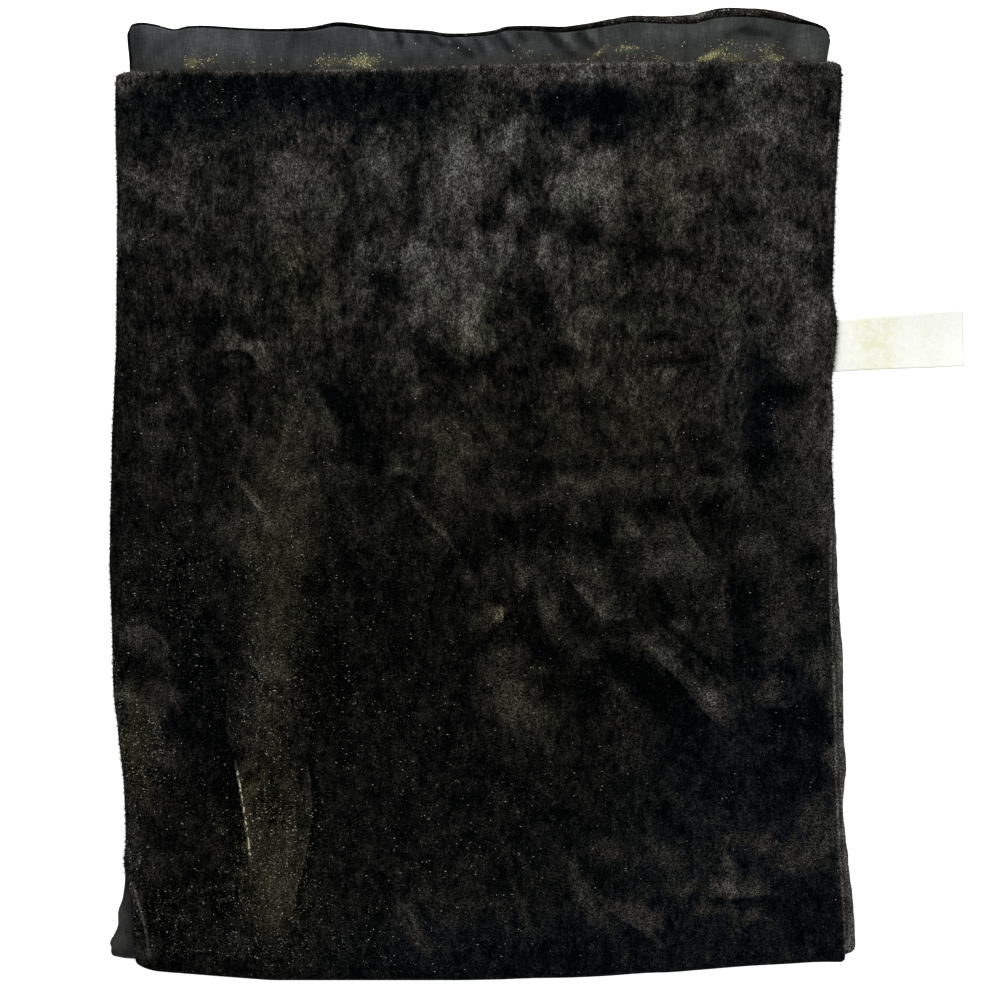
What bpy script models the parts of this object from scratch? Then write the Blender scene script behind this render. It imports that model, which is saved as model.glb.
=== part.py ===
"""An evening stole of gold-shot velvet with a satin lining, folded in four and lying flat.

The stole is one long strip. It is folded in half, velvet outwards, and then in half again, so that
four lined layers lie on each other. From the top down they are:

    top layer     velvet up, from its sewn end round the broad fold to the underside
    end layer     lining up; its sewn end, with the velvet rolled over it, shows past the top layer
    third layer   and
    ground layer  hidden, but for their edges

+X runs across the stole, +Y from the broad fold to the sewn ends, and +Z up. The origin is on the
surface that the stole lies on, under the middle of its box. Tables are in millimetres.
"""

import math
from collections import namedtuple

import bmesh
import bpy
import numpy as np
from mathutils import Vector

MM = 0.001

# ---------------------------------------------------------------- driving dimensions, millimetres
SEAM_GAP = 0.3  # between pieces that touch
VELVET = 2.2  # velvet's ground and pile together
LINING = 1.0
LAYER_HEIGHT = 2.7  # one hidden layer, velvet and lining
LAYER_PARTING = 0.15  # half of the parting between two hidden layers
GROOVE_DEPTH = 3.0  # how far a parting runs in from the edge
FOLD_TAIL = 18.0  # how far the top layer's velvet runs back on the underside
LOFT = 0.8  # how far the top layer stands off in its middle
LOFT_FADE = 45.0  # from its edge in
END_SETBACK = 9.0  # the hidden fold at the sewn ends lies this far in from the end layer's end
EDGE_REACH = 0.6  # the lining's edge lies this far in from its layer's outline

SIDE_TURN_WIDTH = 12.0  # the velvet turned over the lining, lower right
SIDE_TURN_START = 14.0  # along, hidden under the top layer
SIDE_TURN_STOP = -219.5
SIDE_TURN_FADE = 60.0

LABEL_LENGTH = 74.0
LABEL_WIDTH = 25.4
LABEL_THICKNESS = 1.0
LABEL_TILT = math.radians(2.8)
LABEL_REACH = 209.0  # where its free end lies, across
LABEL_END_HEIGHT = 0.3  # its underside's height at the free end
LABEL_DROP_START = 12.0  # from its hidden end
LABEL_SEAT = (146.8, 71.8)  # where its middle passes under the top layer's edge
LABEL_LIFT = 1.7  # how far the top layer rises to let it out
LABEL_LIFT_REACH = (20.0, 17.0)  # across and along
LABEL_LIFT_FADE = 14.0

HIDDEN_TOP = 3 * LAYER_HEIGHT + 4 * LAYER_PARTING
LINING_BOTTOM = HIDDEN_TOP + SEAM_GAP
LINING_TOP = LINING_BOTTOM + LINING
TOP_FACE = LINING_TOP + SEAM_GAP + VELVET
FOLD_RADIUS = TOP_FACE / 2

# ---------------------------------------------------------------- outlines, a row for each section
SideRow = namedtuple("SideRow", "along left right")
EdgeRow = namedtuple("EdgeRow", "across along")
CreaseRow = namedtuple("CreaseRow", "x0 y0 x1 y1 width height")
RollRow = namedtuple("RollRow", "across width height")

TOP_LAYER_SIDES = [
    SideRow(212, -201.5, 147.0),
    SideRow(206, -204.6, 149.4),
    SideRow(190, -205.5, 149.0),
    SideRow(142, -205.0, 146.6),
    SideRow(100, -205.3, 145.3),
    SideRow(83, -205.6, 147.4),
    SideRow(62, -206.0, 146.0),
    SideRow(34, -207.5, 144.7),
    SideRow(-5, -208.6, 145.0),
    SideRow(-35, -209.0, 144.8),
    SideRow(-64, -207.8, 145.4),
    SideRow(-94, -206.8, 146.6),
    SideRow(-117, -204.5, 147.0),
    SideRow(-141, -202.0, 147.6),
    SideRow(-182, -200.8, 149.6),
    SideRow(-205, -197.4, 151.2),
    SideRow(-222, -196.4, 152.2),
    SideRow(-240, -195.8, 152.4),
]
TOP_LAYER_END = [
    EdgeRow(-206, 205.8),
    EdgeRow(-201, 207.6),
    EdgeRow(-110, 207.9),
    EdgeRow(-62, 208.9),
    EdgeRow(-18, 210.5),
    EdgeRow(62, 211.5),
    EdgeRow(143, 211.2),
    EdgeRow(150, 209.4),
]
BROAD_FOLD = [
    EdgeRow(-197, -229.6),
    EdgeRow(-188, -232.9),
    EdgeRow(-167, -235.6),
    EdgeRow(-140, -237.0),
    EdgeRow(-66, -238.1),
    EdgeRow(-40, -237.8),
    EdgeRow(0, -236.6),
    EdgeRow(66, -233.2),
    EdgeRow(105, -230.8),
    EdgeRow(145, -229.2),
    EdgeRow(152, -227.6),
]
END_LAYER_SIDES = [
    SideRow(228, -198.2, 138.5),
    SideRow(221, -199.7, 143.8),
    SideRow(210, -198.9, 142.4),
    SideRow(150, -199.5, 140.5),
    SideRow(90, -200.5, 140.5),
    SideRow(34, -201.0, 142.0),
    SideRow(-15, -202.0, 147.0),
    SideRow(-48, -203.0, 148.8),
    SideRow(-76, -203.0, 150.7),
    SideRow(-104, -202.0, 150.7),
    SideRow(-134, -199.8, 152.0),
    SideRow(-153, -199.3, 150.7),
    SideRow(-170, -199.3, 153.1),
    SideRow(-188, -200.8, 155.4),
    SideRow(-199, -202.6, 156.3),
    SideRow(-213, -205.0, 156.8),
    SideRow(-221, -208.0, 156.2),
    SideRow(-228, -207.4, 154.6),
]
END_LAYER_END = [
    EdgeRow(-199.6, 226.6),
    EdgeRow(-190, 230.3),
    EdgeRow(-179, 227.9),
    EdgeRow(-169, 229.2),
    EdgeRow(-140, 228.4),
    EdgeRow(-115, 228.7),
    EdgeRow(-96, 230.9),
    EdgeRow(-76, 229.0),
    EdgeRow(-42, 226.1),
    EdgeRow(-22, 226.7),
    EdgeRow(-7, 228.8),
    EdgeRow(17, 229.4),
    EdgeRow(37, 232.3),
    EdgeRow(56, 234.2),
    EdgeRow(76, 234.9),
    EdgeRow(90, 237.7),
    EdgeRow(100, 238.5),
    EdgeRow(115, 237.2),
    EdgeRow(128, 233.6),
    EdgeRow(138, 229.0),
    EdgeRow(143.8, 221.5),
]
INNER_FOLD = [
    EdgeRow(-208, -225.8),
    EdgeRow(-198, -227.0),
    EdgeRow(-194, -227.0),
    EdgeRow(-186, -229.2),
    EdgeRow(-150, -231.8),
    EdgeRow(-66, -233.8),
    EdgeRow(0, -232.2),
    EdgeRow(66, -229.0),
    EdgeRow(105, -226.6),
    EdgeRow(140, -224.9),
    EdgeRow(156, -222.6),
]

# The velvet rolled over the lining at the stole's sewn end: the roll's own width and height.
END_ROLL = [
    RollRow(-200, 1.3, 3.2),
    RollRow(-150, 1.2, 3.2),
    RollRow(-98, 2.1, 3.6),
    RollRow(-60, 1.4, 3.4),
    RollRow(-20, 1.8, 3.6),
    RollRow(0, 2.5, 3.8),
    RollRow(40, 3.5, 4.0),
    RollRow(76, 3.8, 4.1),
    RollRow(97, 4.8, 4.3),
    RollRow(115, 4.6, 4.2),
    RollRow(130, 2.8, 3.8),
    RollRow(144, 1.3, 3.2),
]
ROLL_STARTS_ALONG = 190.0  # on the left side, hidden under the top layer
ROLL_FADE = 34.0

# Ridges of the top layer, from (x0, y0) to (x1, y1). A negative height is a trough.
CREASES = [
    CreaseRow(-116, 70, -128, -20, 14, 0.9),
    CreaseRow(-127, -30, -127, -100, 14, 1.1),
    CreaseRow(-131, -118, -129, -205, 14, 2.8),
    CreaseRow(-155, -95, -148, -180, 8, -0.9),
    CreaseRow(-190, -105, -176, -135, 12, 1.3),
    CreaseRow(-100, 45, -52, -42, 6, -0.7),
    CreaseRow(-66, 5, -22, -58, 6, 1.6),
    CreaseRow(-18, -72, -4, -118, 14, 1.7),
    CreaseRow(-6, -36, 40, -50, 11, 1.6),
    CreaseRow(16, -66, 52, -72, 6, -0.8),
    CreaseRow(52, -74, 98, -112, 7, 2.7),
    CreaseRow(48, -8, 66, -36, 6, 1.0),
    CreaseRow(72, -4, 84, -26, 6, 0.9),
    CreaseRow(100, -32, 126, -18, 7, 1.2),
    CreaseRow(112, -44, 136, -74, 12, 1.0),
    CreaseRow(26, -178, 62, -216, 8, 1.5),
    CreaseRow(84, -190, 120, -192, 9, 1.1),
    CreaseRow(-68, -200, -46, -226, 6, 1.2),
    CreaseRow(-28, 150, -34, 78, 16, 0.6),
    CreaseRow(30, 170, 40, 110, 14, 0.5),
]

# ---------------------------------------------------------------- materials
VELVET_BLACK = (0.012, 0.012, 0.011)
LINING_SLATE = (0.045, 0.052, 0.054)
LABEL_IVORY = (0.86, 0.85, 0.76)


def finish(name, colour, roughness):
    """A plain Principled material."""
    material = bpy.data.materials.new(name)
    material.use_nodes = True
    shader = material.node_tree.nodes["Principled BSDF"]
    shader.inputs["Base Color"].default_value = (*colour, 1.0)
    shader.inputs["Roughness"].default_value = roughness
    shader.inputs["Metallic"].default_value = 0.0
    return material


# ---------------------------------------------------------------- reading the tables
def through(rows, key, value):
    """A smooth curve through one column of a table, held level past its ends."""
    pairs = sorted((getattr(row, key), getattr(row, value)) for row in rows)
    xs, ys = np.array(pairs, float).T
    # Level at each turning point, so that the curve never swings past the table's own values.
    chords = np.diff(ys) / np.diff(xs)
    slopes = np.concatenate([chords[:1], np.zeros(len(xs) - 2), chords[-1:]])
    same_way = chords[:-1] * chords[1:] > 0
    slopes[1:-1][same_way] = 2 / (1 / chords[:-1][same_way] + 1 / chords[1:][same_way])

    def read(at):
        at = min(max(at, xs[0]), xs[-1])
        i = min(int(np.searchsorted(xs, at, side="right")) - 1, len(xs) - 2)
        span = xs[i + 1] - xs[i]
        t = (at - xs[i]) / span
        rise = ys[i + 1] - ys[i]
        bow = t * (1 - t) * span
        bend = (slopes[i] - rise / span) * (1 - t) - (slopes[i + 1] - rise / span) * t
        return float(ys[i] + rise * t + bow * bend)

    return read


def smooth_step(t):
    t = min(max(t, 0.0), 1.0)
    return t * t * (3 - 2 * t)


Outline = namedtuple("Outline", "left right fold end")

top_layer = Outline(
    left=through(TOP_LAYER_SIDES, "along", "left"),
    right=through(TOP_LAYER_SIDES, "along", "right"),
    fold=through(BROAD_FOLD, "across", "along"),
    end=through(TOP_LAYER_END, "across", "along"),
)
end_layer = Outline(
    left=through(END_LAYER_SIDES, "along", "left"),
    right=through(END_LAYER_SIDES, "along", "right"),
    fold=through(INNER_FOLD, "across", "along"),
    end=through(END_LAYER_END, "across", "along"),
)
roll_width = through(END_ROLL, "across", "width")
roll_height = through(END_ROLL, "across", "height")


def roll_inset(along):
    """How far the end layer's body stops short of its left side, to make room for the roll."""
    share = smooth_step((along - ROLL_STARTS_ALONG + ROLL_FADE) / (ROLL_FADE - 8))
    return share * (END_ROLL[0].width + 2 * SEAM_GAP)


def end_inset(across):
    """How far the end layer's body stops short of its sewn end, measured along."""
    slope = (end_layer.end(across + 1) - end_layer.end(across - 1)) / 2
    return (roll_width(across) + SEAM_GAP) * math.hypot(1, slope) + 0.3


def inside_roll():
    """The end layer's outline without the rolled velvet round its end."""
    return Outline(
        left=lambda y: end_layer.left(y) + roll_inset(y),
        right=end_layer.right,
        fold=end_layer.fold,
        end=lambda x: end_layer.end(x) - end_inset(x),
    )


def hidden_outline(layer):
    """The outline of one of the three hidden layers."""
    if layer == "end":
        return inside_roll()
    setback = SIDE_SETBACK[layer]
    height, length, phase = SIDE_WAVE[layer]

    def wave(along):
        return height * math.sin(2 * math.pi * along / length + phase)

    def fold(across):
        if layer == "ground":
            return top_layer.fold(across) + FOLD_RADIUS + FOLD_TAIL + SEAM_GAP
        return end_layer.fold(across)

    return Outline(
        left=lambda y: end_layer.left(y) + setback + wave(y),
        right=lambda y: end_layer.right(y) - setback + wave(y + length / 3),
        fold=fold,
        end=lambda x: end_layer.end(x) - END_SETBACK,
    )


def place_in(outline, across, along):
    """The point at these shares of an outline: across from its left, along from its fold."""
    x = outline.left(0) + (outline.right(0) - outline.left(0)) * across
    y = 0.0
    for _ in range(6):
        y = outline.fold(x) + (outline.end(x) - outline.fold(x)) * along
        x = outline.left(y) + (outline.right(y) - outline.left(y)) * across
    return x, y


def shares(count, edge_steps=(0.004, 0.014, 0.032)):
    """Shares from 0 to 1, closer near both ends so that corners come out round."""
    middle = np.linspace(0, 1, count + 1)
    middle = middle[(middle > edge_steps[-1] * 1.4) & (middle < 1 - edge_steps[-1] * 1.4)]
    return [0.0, *edge_steps, *middle, *(1 - s for s in reversed(edge_steps)), 1.0]


# ---------------------------------------------------------------- the hidden layers' edges
# From the ground up: each ring's height and how far it lies in from its layer's outline, at the
# two sides, at the sewn ends and at the folds.
RingRow = namedtuple("RingRow", "height layer sides ends folds")
LAYER_PITCH = LAYER_HEIGHT + 2 * LAYER_PARTING


def layer_rings(layer, number, ends, folds):
    """The four rings of one hidden layer's rounded edge, and the parting above it."""
    low = number * LAYER_PITCH
    heights = [low, low + 0.8, low + LAYER_HEIGHT - 0.8, low + LAYER_HEIGHT]
    sides = [1.0, 0.0, 0.0, 1.0]
    return [RingRow(*row) for row in zip(heights, [layer] * 4, sides, ends, folds)]


def parting(below, number, at_ends, at_folds):
    """The ring at the bottom of the groove between two hidden layers."""
    height = (number + 1) * LAYER_PITCH - LAYER_PARTING
    return RingRow(height, below, GROOVE_DEPTH, at_ends, at_folds)


HIDDEN_RINGS = (
    layer_rings("ground", 0, [2.4, 1.0, 0.2, 0.0], [1.0, 0.0, 0.0, 0.0])
    + [parting("ground", 0, 0.0, 0.0)]
    + layer_rings("third", 1, [0.0, 0.2, 1.0, 2.4], [2.6, 1.2, 0.2, 0.0])
    + [parting("third", 1, GROOVE_DEPTH, 0.0)]
    + layer_rings("end", 2, [1.0, 0.0, 0.0, 1.0], [0.0, 0.2, 1.2, 2.6])
)
SIDE_SETBACK = {"ground": 2.6, "third": 1.8, "end": 0.0}
SIDE_WAVE = {"ground": (1.3, 95.0, 0.4), "third": (1.1, 70.0, 2.1), "end": (0.0, 90.0, 0.0)}

# ---------------------------------------------------------------- making meshes
def add_object(name, mesh, material):
    mesh.materials.append(material)
    made = bpy.data.objects.new(name, mesh)
    part_collection.objects.link(made)
    return made


def sheet(name, columns, rows, place, thickness, material):
    """A sheet of cloth: a grid whose points place() lays, thickened downwards by Solidify.

    columns and rows are lists of stations, and place(column, row) gives millimetres.
    """
    mesh = bpy.data.meshes.new(name)
    body = bmesh.new()
    bmesh.ops.create_grid(
        body, x_segments=len(columns) - 1, y_segments=len(rows) - 1, size=0.5
    )
    for vertex in body.verts:
        column = round((vertex.co.x + 0.5) * (len(columns) - 1))
        row = round((vertex.co.y + 0.5) * (len(rows) - 1))
        vertex.co = Vector(place(columns[column], rows[row])) * MM
    body.to_mesh(mesh)
    body.free()
    made = add_object(name, mesh, material)
    wall = made.modifiers.new("wall", "SOLIDIFY")
    wall.thickness = thickness * MM
    wall.offset = -1.0
    return made


def loft(name, rings, material):
    """A closed body through rings of equally many points, each an open list round the body."""
    mesh = bpy.data.meshes.new(name)
    body = bmesh.new()
    loops = [[body.verts.new(Vector(p) * MM) for p in ring] for ring in rings]
    count = len(loops[0])
    for lower, upper in zip(loops, loops[1:]):
        for i in range(count):
            j = (i + 1) % count
            body.faces.new((lower[i], lower[j], upper[j], upper[i]))
    body.faces.new(list(reversed(loops[0])))
    body.faces.new(loops[-1])
    bmesh.ops.recalc_face_normals(body, faces=body.faces)
    body.to_mesh(mesh)
    body.free()
    return add_object(name, mesh, material)


def shade_round(made, sharp_degrees=40):
    made.data.shade_smooth()
    made.data.set_sharp_from_angle(angle=math.radians(sharp_degrees))


# ---------------------------------------------------------------- the top layer's relief
def crease_height(x, y):
    """The sum of the ridges and troughs at a point, each a soft bank that dies out at its ends."""
    total = 0.0
    for row in CREASES:
        start, run = np.array((row.x0, row.y0)), np.array((row.x1 - row.x0, row.y1 - row.y0))
        offset = np.array((x, y)) - start
        t = float(offset @ run / (run @ run))
        length = float(np.linalg.norm(run))
        aside = abs(float(run[0] * offset[1] - run[1] * offset[0])) / length
        past = max(-t, t - 1, 0.0) * length
        spread = row.width * (0.75 + 0.25 * math.cos(math.pi * (min(max(t, 0), 1) - 0.5)))
        total += row.height * math.exp(-((aside / spread) ** 2) - (past / row.width) ** 2)
    return total


def edge_distance(x, y):
    """How far a point lies in from the top layer's nearest edge."""
    return min(
        x - top_layer.left(y),
        top_layer.right(y) - x,
        top_layer.end(x) - y,
        y - top_layer.fold(x) - FOLD_RADIUS,
    )


def edge_droop(x, y):
    """How far the top layer's side hangs down where it reaches past the layer below it."""
    drop = 0.0
    for inwards, reach in (
        (x - top_layer.left(y), end_layer.left(y) - top_layer.left(y)),
        (top_layer.right(y) - x, top_layer.right(y) - end_layer.right(y)),
    ):
        free = reach - 1.5
        if free > 0.5:
            drop += 0.45 * free * (1 - smooth_step(inwards / free))
    return drop * (1 - label_lift(x, y) / LABEL_LIFT)


def label_lift(x, y):
    """The top layer's rise over the label that comes out under its edge."""
    across = abs(x - LABEL_SEAT[0]) - LABEL_LIFT_REACH[0]
    along = abs(y - LABEL_SEAT[1]) - LABEL_LIFT_REACH[1]
    return LABEL_LIFT * (1 - smooth_step(max(across, along, 0.0) / LABEL_LIFT_FADE))


def relief(x, y):
    """The top layer's height over its resting face."""
    inward = smooth_step(edge_distance(x, y) / LOFT_FADE)
    banks = max(crease_height(x, y), -LOFT * inward) * smooth_step(edge_distance(x, y) / 14 + 0.1)
    return max(LOFT * inward + banks, 0.0)


# ---------------------------------------------------------------- the pieces
def make_velvet_top_layer(material):
    """The velvet face that shows, with its creases, round the broad fold and a little way back."""
    flat = [("flat", share) for share in reversed(shares(30)[1:])]
    turns = 8
    fold = [("fold", math.pi * i / turns) for i in range(turns + 1)]
    tail = [("tail", FOLD_TAIL)]
    flat_top = Outline(
        top_layer.left, top_layer.right, lambda x: top_layer.fold(x) + FOLD_RADIUS, top_layer.end
    )

    def place(across, station):
        kind, value = station
        if kind == "flat":
            x, y = place_in(flat_top, across, value)
            rise = max(relief(x, y), label_lift(x, y)) if x > 0 else relief(x, y)
            return x, y, TOP_FACE + rise - edge_droop(x, y)
        x, y = place_in(flat_top, across, 0.0)
        if kind == "fold":
            swing = FOLD_RADIUS * math.sin(value)
            return x, y - swing, FOLD_RADIUS * (1 + math.cos(value))
        return x, y + value, 0.0

    rows = list(reversed(flat + fold + tail))
    made = sheet("velvet_top_layer", shares(25), rows, place, VELVET, material)
    shade_round(made, 60)


def make_lining(material):
    """The end layer's lining, which lies under the top layer and shows at the end and a corner."""
    body = inside_roll()
    side = Outline(
        left=lambda y: body.left(y) + EDGE_REACH,
        right=lambda y: body.right(y) - EDGE_REACH - side_turn_share(y) * (SIDE_TURN_WIDTH + 2.0),
        fold=lambda x: body.fold(x) + 2.8,
        end=lambda x: body.end(x) - SEAM_GAP,
    )
    near_fold = [0.0, 0.004, 0.014, 0.032, 0.055, 0.08, 0.11, 0.15]
    rows = near_fold + list(np.linspace(0.22, 0.94, 8)) + [0.97, 0.985, 0.996, 1.0]

    def place(across, along):
        x, y = place_in(side, across, along)
        return x, y, LINING_TOP

    made = sheet("lining_end_layer", shares(32), rows, place, LINING, material)
    shade_round(made)


def side_turn_share(along):
    """1 where the velvet is turned over the lining on the right side, and 0 beyond it."""
    return smooth_step((SIDE_TURN_START + SIDE_TURN_FADE - along) / SIDE_TURN_FADE)


def make_velvet_side_turn(material):
    """The velvet turned over the lining along the lower right side, where it shows."""

    def place(across, y):
        right = end_layer.right(y) - EDGE_REACH
        return right - SIDE_TURN_WIDTH * (1 - across), y, LINING_TOP

    rows = list(np.linspace(SIDE_TURN_STOP, SIDE_TURN_START, 30))
    made = sheet("velvet_side_turn", [0.0, 0.5, 0.8, 1.0], rows, place, LINING, material)
    shade_round(made)


def end_route():
    """Points round the end layer's sewn end, from its left side to its right corner."""
    left = [(end_layer.left(y), y) for y in np.linspace(ROLL_STARTS_ALONG, 224, 8)]
    end = [(x, end_layer.end(x)) for x in np.linspace(-197.5, 143.4, 76)]
    route = np.array(left + end)
    lengths = np.concatenate([[0], np.cumsum(np.linalg.norm(np.diff(route, axis=0), axis=1))])
    stations = np.linspace(0, lengths[-1], 84)
    return np.column_stack([np.interp(stations, lengths, route[:, i]) for i in (0, 1)])


def make_velvet_end_roll(material):
    """The velvet rolled over the lining round the sewn end: a soft cord-like edge."""
    sides = 6
    route = end_route()
    ahead = np.gradient(route, axis=0)
    ahead /= np.linalg.norm(ahead, axis=1)[:, None]
    inward = np.column_stack([ahead[:, 1], -ahead[:, 0]])
    middle_height = 2 * LAYER_PITCH + (LAYER_HEIGHT + LINING) / 2 + 0.3
    rings = []
    for point, normal in zip(route, inward):
        under_top = smooth_step((top_layer.end(point[0]) + 4 - point[1]) / 6)
        width, height = roll_width(point[0]), roll_height(point[0])
        height += (LINING_TOP - 2 * LAYER_PITCH - 0.4 - height) * under_top
        centre = point + normal * width / 2
        middle = middle_height + (2 * LAYER_PITCH + 0.1 + height / 2 - middle_height) * under_top
        ring = []
        for i in range(sides):
            turn = 2 * math.pi * (i + 0.5) / sides
            flat = centre + normal * (width / 2 * math.cos(turn))
            ring.append((flat[0], flat[1], middle + height / 2 * math.sin(turn)))
        rings.append(ring)
    made = loft("velvet_end_roll", rings, material)
    shade_round(made, 60)


def make_folded_layers(material):
    """The hidden layers, velvet and lining together: one rounded solid, layered at its edges."""
    across, along, end_across = shares(20), shares(20), shares(62)
    rings = []
    for row in HIDDEN_RINGS:
        outline = hidden_outline(row.layer)
        ring_outline = Outline(
            left=lambda y: outline.left(y) + row.sides,
            right=lambda y: outline.right(y) - row.sides,
            fold=lambda x: outline.fold(x) + row.folds,
            end=lambda x: outline.end(x) - row.ends,
        )
        loop = [(u, 0.0) for u in across[:-1]]
        loop += [(1.0, v) for v in along[:-1]]
        loop += [(u, 1.0) for u in reversed(end_across[1:])]
        loop += [(0.0, v) for v in reversed(along[1:])]
        rings.append([(*place_in(ring_outline, u, v), row.height) for u, v in loop])
    made = loft("folded_layers", rings, material)
    shade_round(made, 60)


def make_label(material):
    """The bare woven label, sewn inside the side seam; it comes out and sinks to the surface."""
    seated = LINING_TOP + SEAM_GAP + LABEL_THICKNESS
    direction = np.array((math.cos(LABEL_TILT), math.sin(LABEL_TILT)))
    aside = np.array((-direction[1], direction[0]))
    corner_reach = LABEL_WIDTH / 2 * math.sin(LABEL_TILT)
    free_end = LABEL_REACH - corner_reach
    middle_along = LABEL_SEAT[1] + (free_end - LABEL_SEAT[0]) * math.tan(LABEL_TILT)
    end_point = np.array((free_end, middle_along))

    def place(across, share):
        back = LABEL_LENGTH * (1 - across)
        point = end_point - direction * back + aside * LABEL_WIDTH * (share - 0.5)
        run = LABEL_LENGTH - LABEL_DROP_START
        fall = smooth_step((LABEL_LENGTH * across - LABEL_DROP_START) / run)
        low = LABEL_END_HEIGHT + LABEL_THICKNESS
        return point[0], point[1], seated + (low - seated) * fall

    columns = list(np.linspace(0, 1, 23))
    made = sheet("woven_label", columns, list(np.linspace(0, 1, 5)), place, LABEL_THICKNESS, material)
    shade_round(made)


# ---------------------------------------------------------------- the stole
for old in list(bpy.data.objects):
    bpy.data.objects.remove(old)
part_collection = bpy.data.collections.new("evening_stole")
bpy.context.scene.collection.children.link(part_collection)

velvet = finish("gold_shot_velvet", VELVET_BLACK, 0.75)
satin = finish("slate_satin", LINING_SLATE, 0.42)
ribbon = finish("ivory_label", LABEL_IVORY, 0.55)

make_folded_layers(velvet)
make_lining(satin)
make_velvet_end_roll(velvet)
make_velvet_side_turn(velvet)
make_velvet_top_layer(velvet)
make_label(ribbon)
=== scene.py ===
import math
import random

import bmesh
import bpy
import numpy as np
from mathutils import Matrix, Vector, noise


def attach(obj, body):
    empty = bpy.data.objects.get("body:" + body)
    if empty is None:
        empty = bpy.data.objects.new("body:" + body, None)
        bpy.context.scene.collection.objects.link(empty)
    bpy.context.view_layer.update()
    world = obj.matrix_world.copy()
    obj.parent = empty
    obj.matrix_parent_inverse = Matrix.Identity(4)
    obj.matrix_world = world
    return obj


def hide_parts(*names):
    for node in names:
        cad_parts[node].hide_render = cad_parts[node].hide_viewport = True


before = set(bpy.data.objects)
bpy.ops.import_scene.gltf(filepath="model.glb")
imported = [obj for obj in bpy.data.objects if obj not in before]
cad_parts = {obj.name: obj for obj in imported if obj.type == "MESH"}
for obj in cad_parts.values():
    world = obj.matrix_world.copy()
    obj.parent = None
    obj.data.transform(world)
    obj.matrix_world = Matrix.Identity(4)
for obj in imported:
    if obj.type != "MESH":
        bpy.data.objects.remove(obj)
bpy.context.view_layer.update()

# The velvet stole lies folded in four. Tables and settings are in millimetres: across is +X,
# along is +Y, from the broad fold to the sewn ends, and up is +Z.
mm = 0.001
farAway = 99.0  # further than any edge or crease reaches

# The camera looks straight down, and the sheet under it is lit white.
camera = {
    "middle": (-17.4, -2.94),  # the point under the lens
    "width": 490.0,  # what the frame spans at the top layer's height
    "plane": 12.5,
    "lens": 85.0,
    "sensor": 36.0,
}
studio = {
    "worldStrength": 0.72,
    "floorSize": 16000.0,
    "floorDrop": 0.2,  # under the cloth
    "floorShades": [(0.0, (0.9, 0.9, 0.9)), (1.0, (0.93, 0.93, 0.93))],
    "floorGlow": 0.55,
    "lamps": [  # place, size, watts
        ((-500.0, 1400.0, 1300.0), 1000.0, 36.0),
        ((1300.0, -300.0, 1300.0), 1200.0, 9.0),
    ],
}


def setCamera():
    lens = bpy.data.cameras.new("camera")
    lens.lens = camera["lens"]
    lens.sensor_width = camera["sensor"]
    lens.clip_end = 20.0
    made = bpy.data.objects.new("camera", lens)
    height = camera["plane"] + camera["width"] * camera["lens"] / camera["sensor"]
    made.location = Vector((*camera["middle"], height)) * mm
    bpy.context.scene.collection.objects.link(made)
    bpy.context.scene.camera = made


def setLights():
    world = bpy.data.worlds.new("studio")
    world.use_nodes = True
    background = world.node_tree.nodes["Background"]
    background.inputs["Color"].default_value = (1.0, 1.0, 1.0, 1.0)
    background.inputs["Strength"].default_value = studio["worldStrength"]
    bpy.context.scene.world = world
    bpy.context.scene.view_settings.view_transform = "Standard"
    for index, (place, size, watts) in enumerate(studio["lamps"]):
        lamp = bpy.data.lights.new(f"lamp{index}", "AREA")
        lamp.size = size * mm
        lamp.energy = watts
        made = bpy.data.objects.new(f"lamp{index}", lamp)
        made.location = Vector(place) * mm
        made.rotation_euler = (-made.location).to_track_quat("-Z", "Y").to_euler()
        bpy.context.scene.collection.objects.link(made)


setCamera()
setLights()
print("camera and lights are up")


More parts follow.
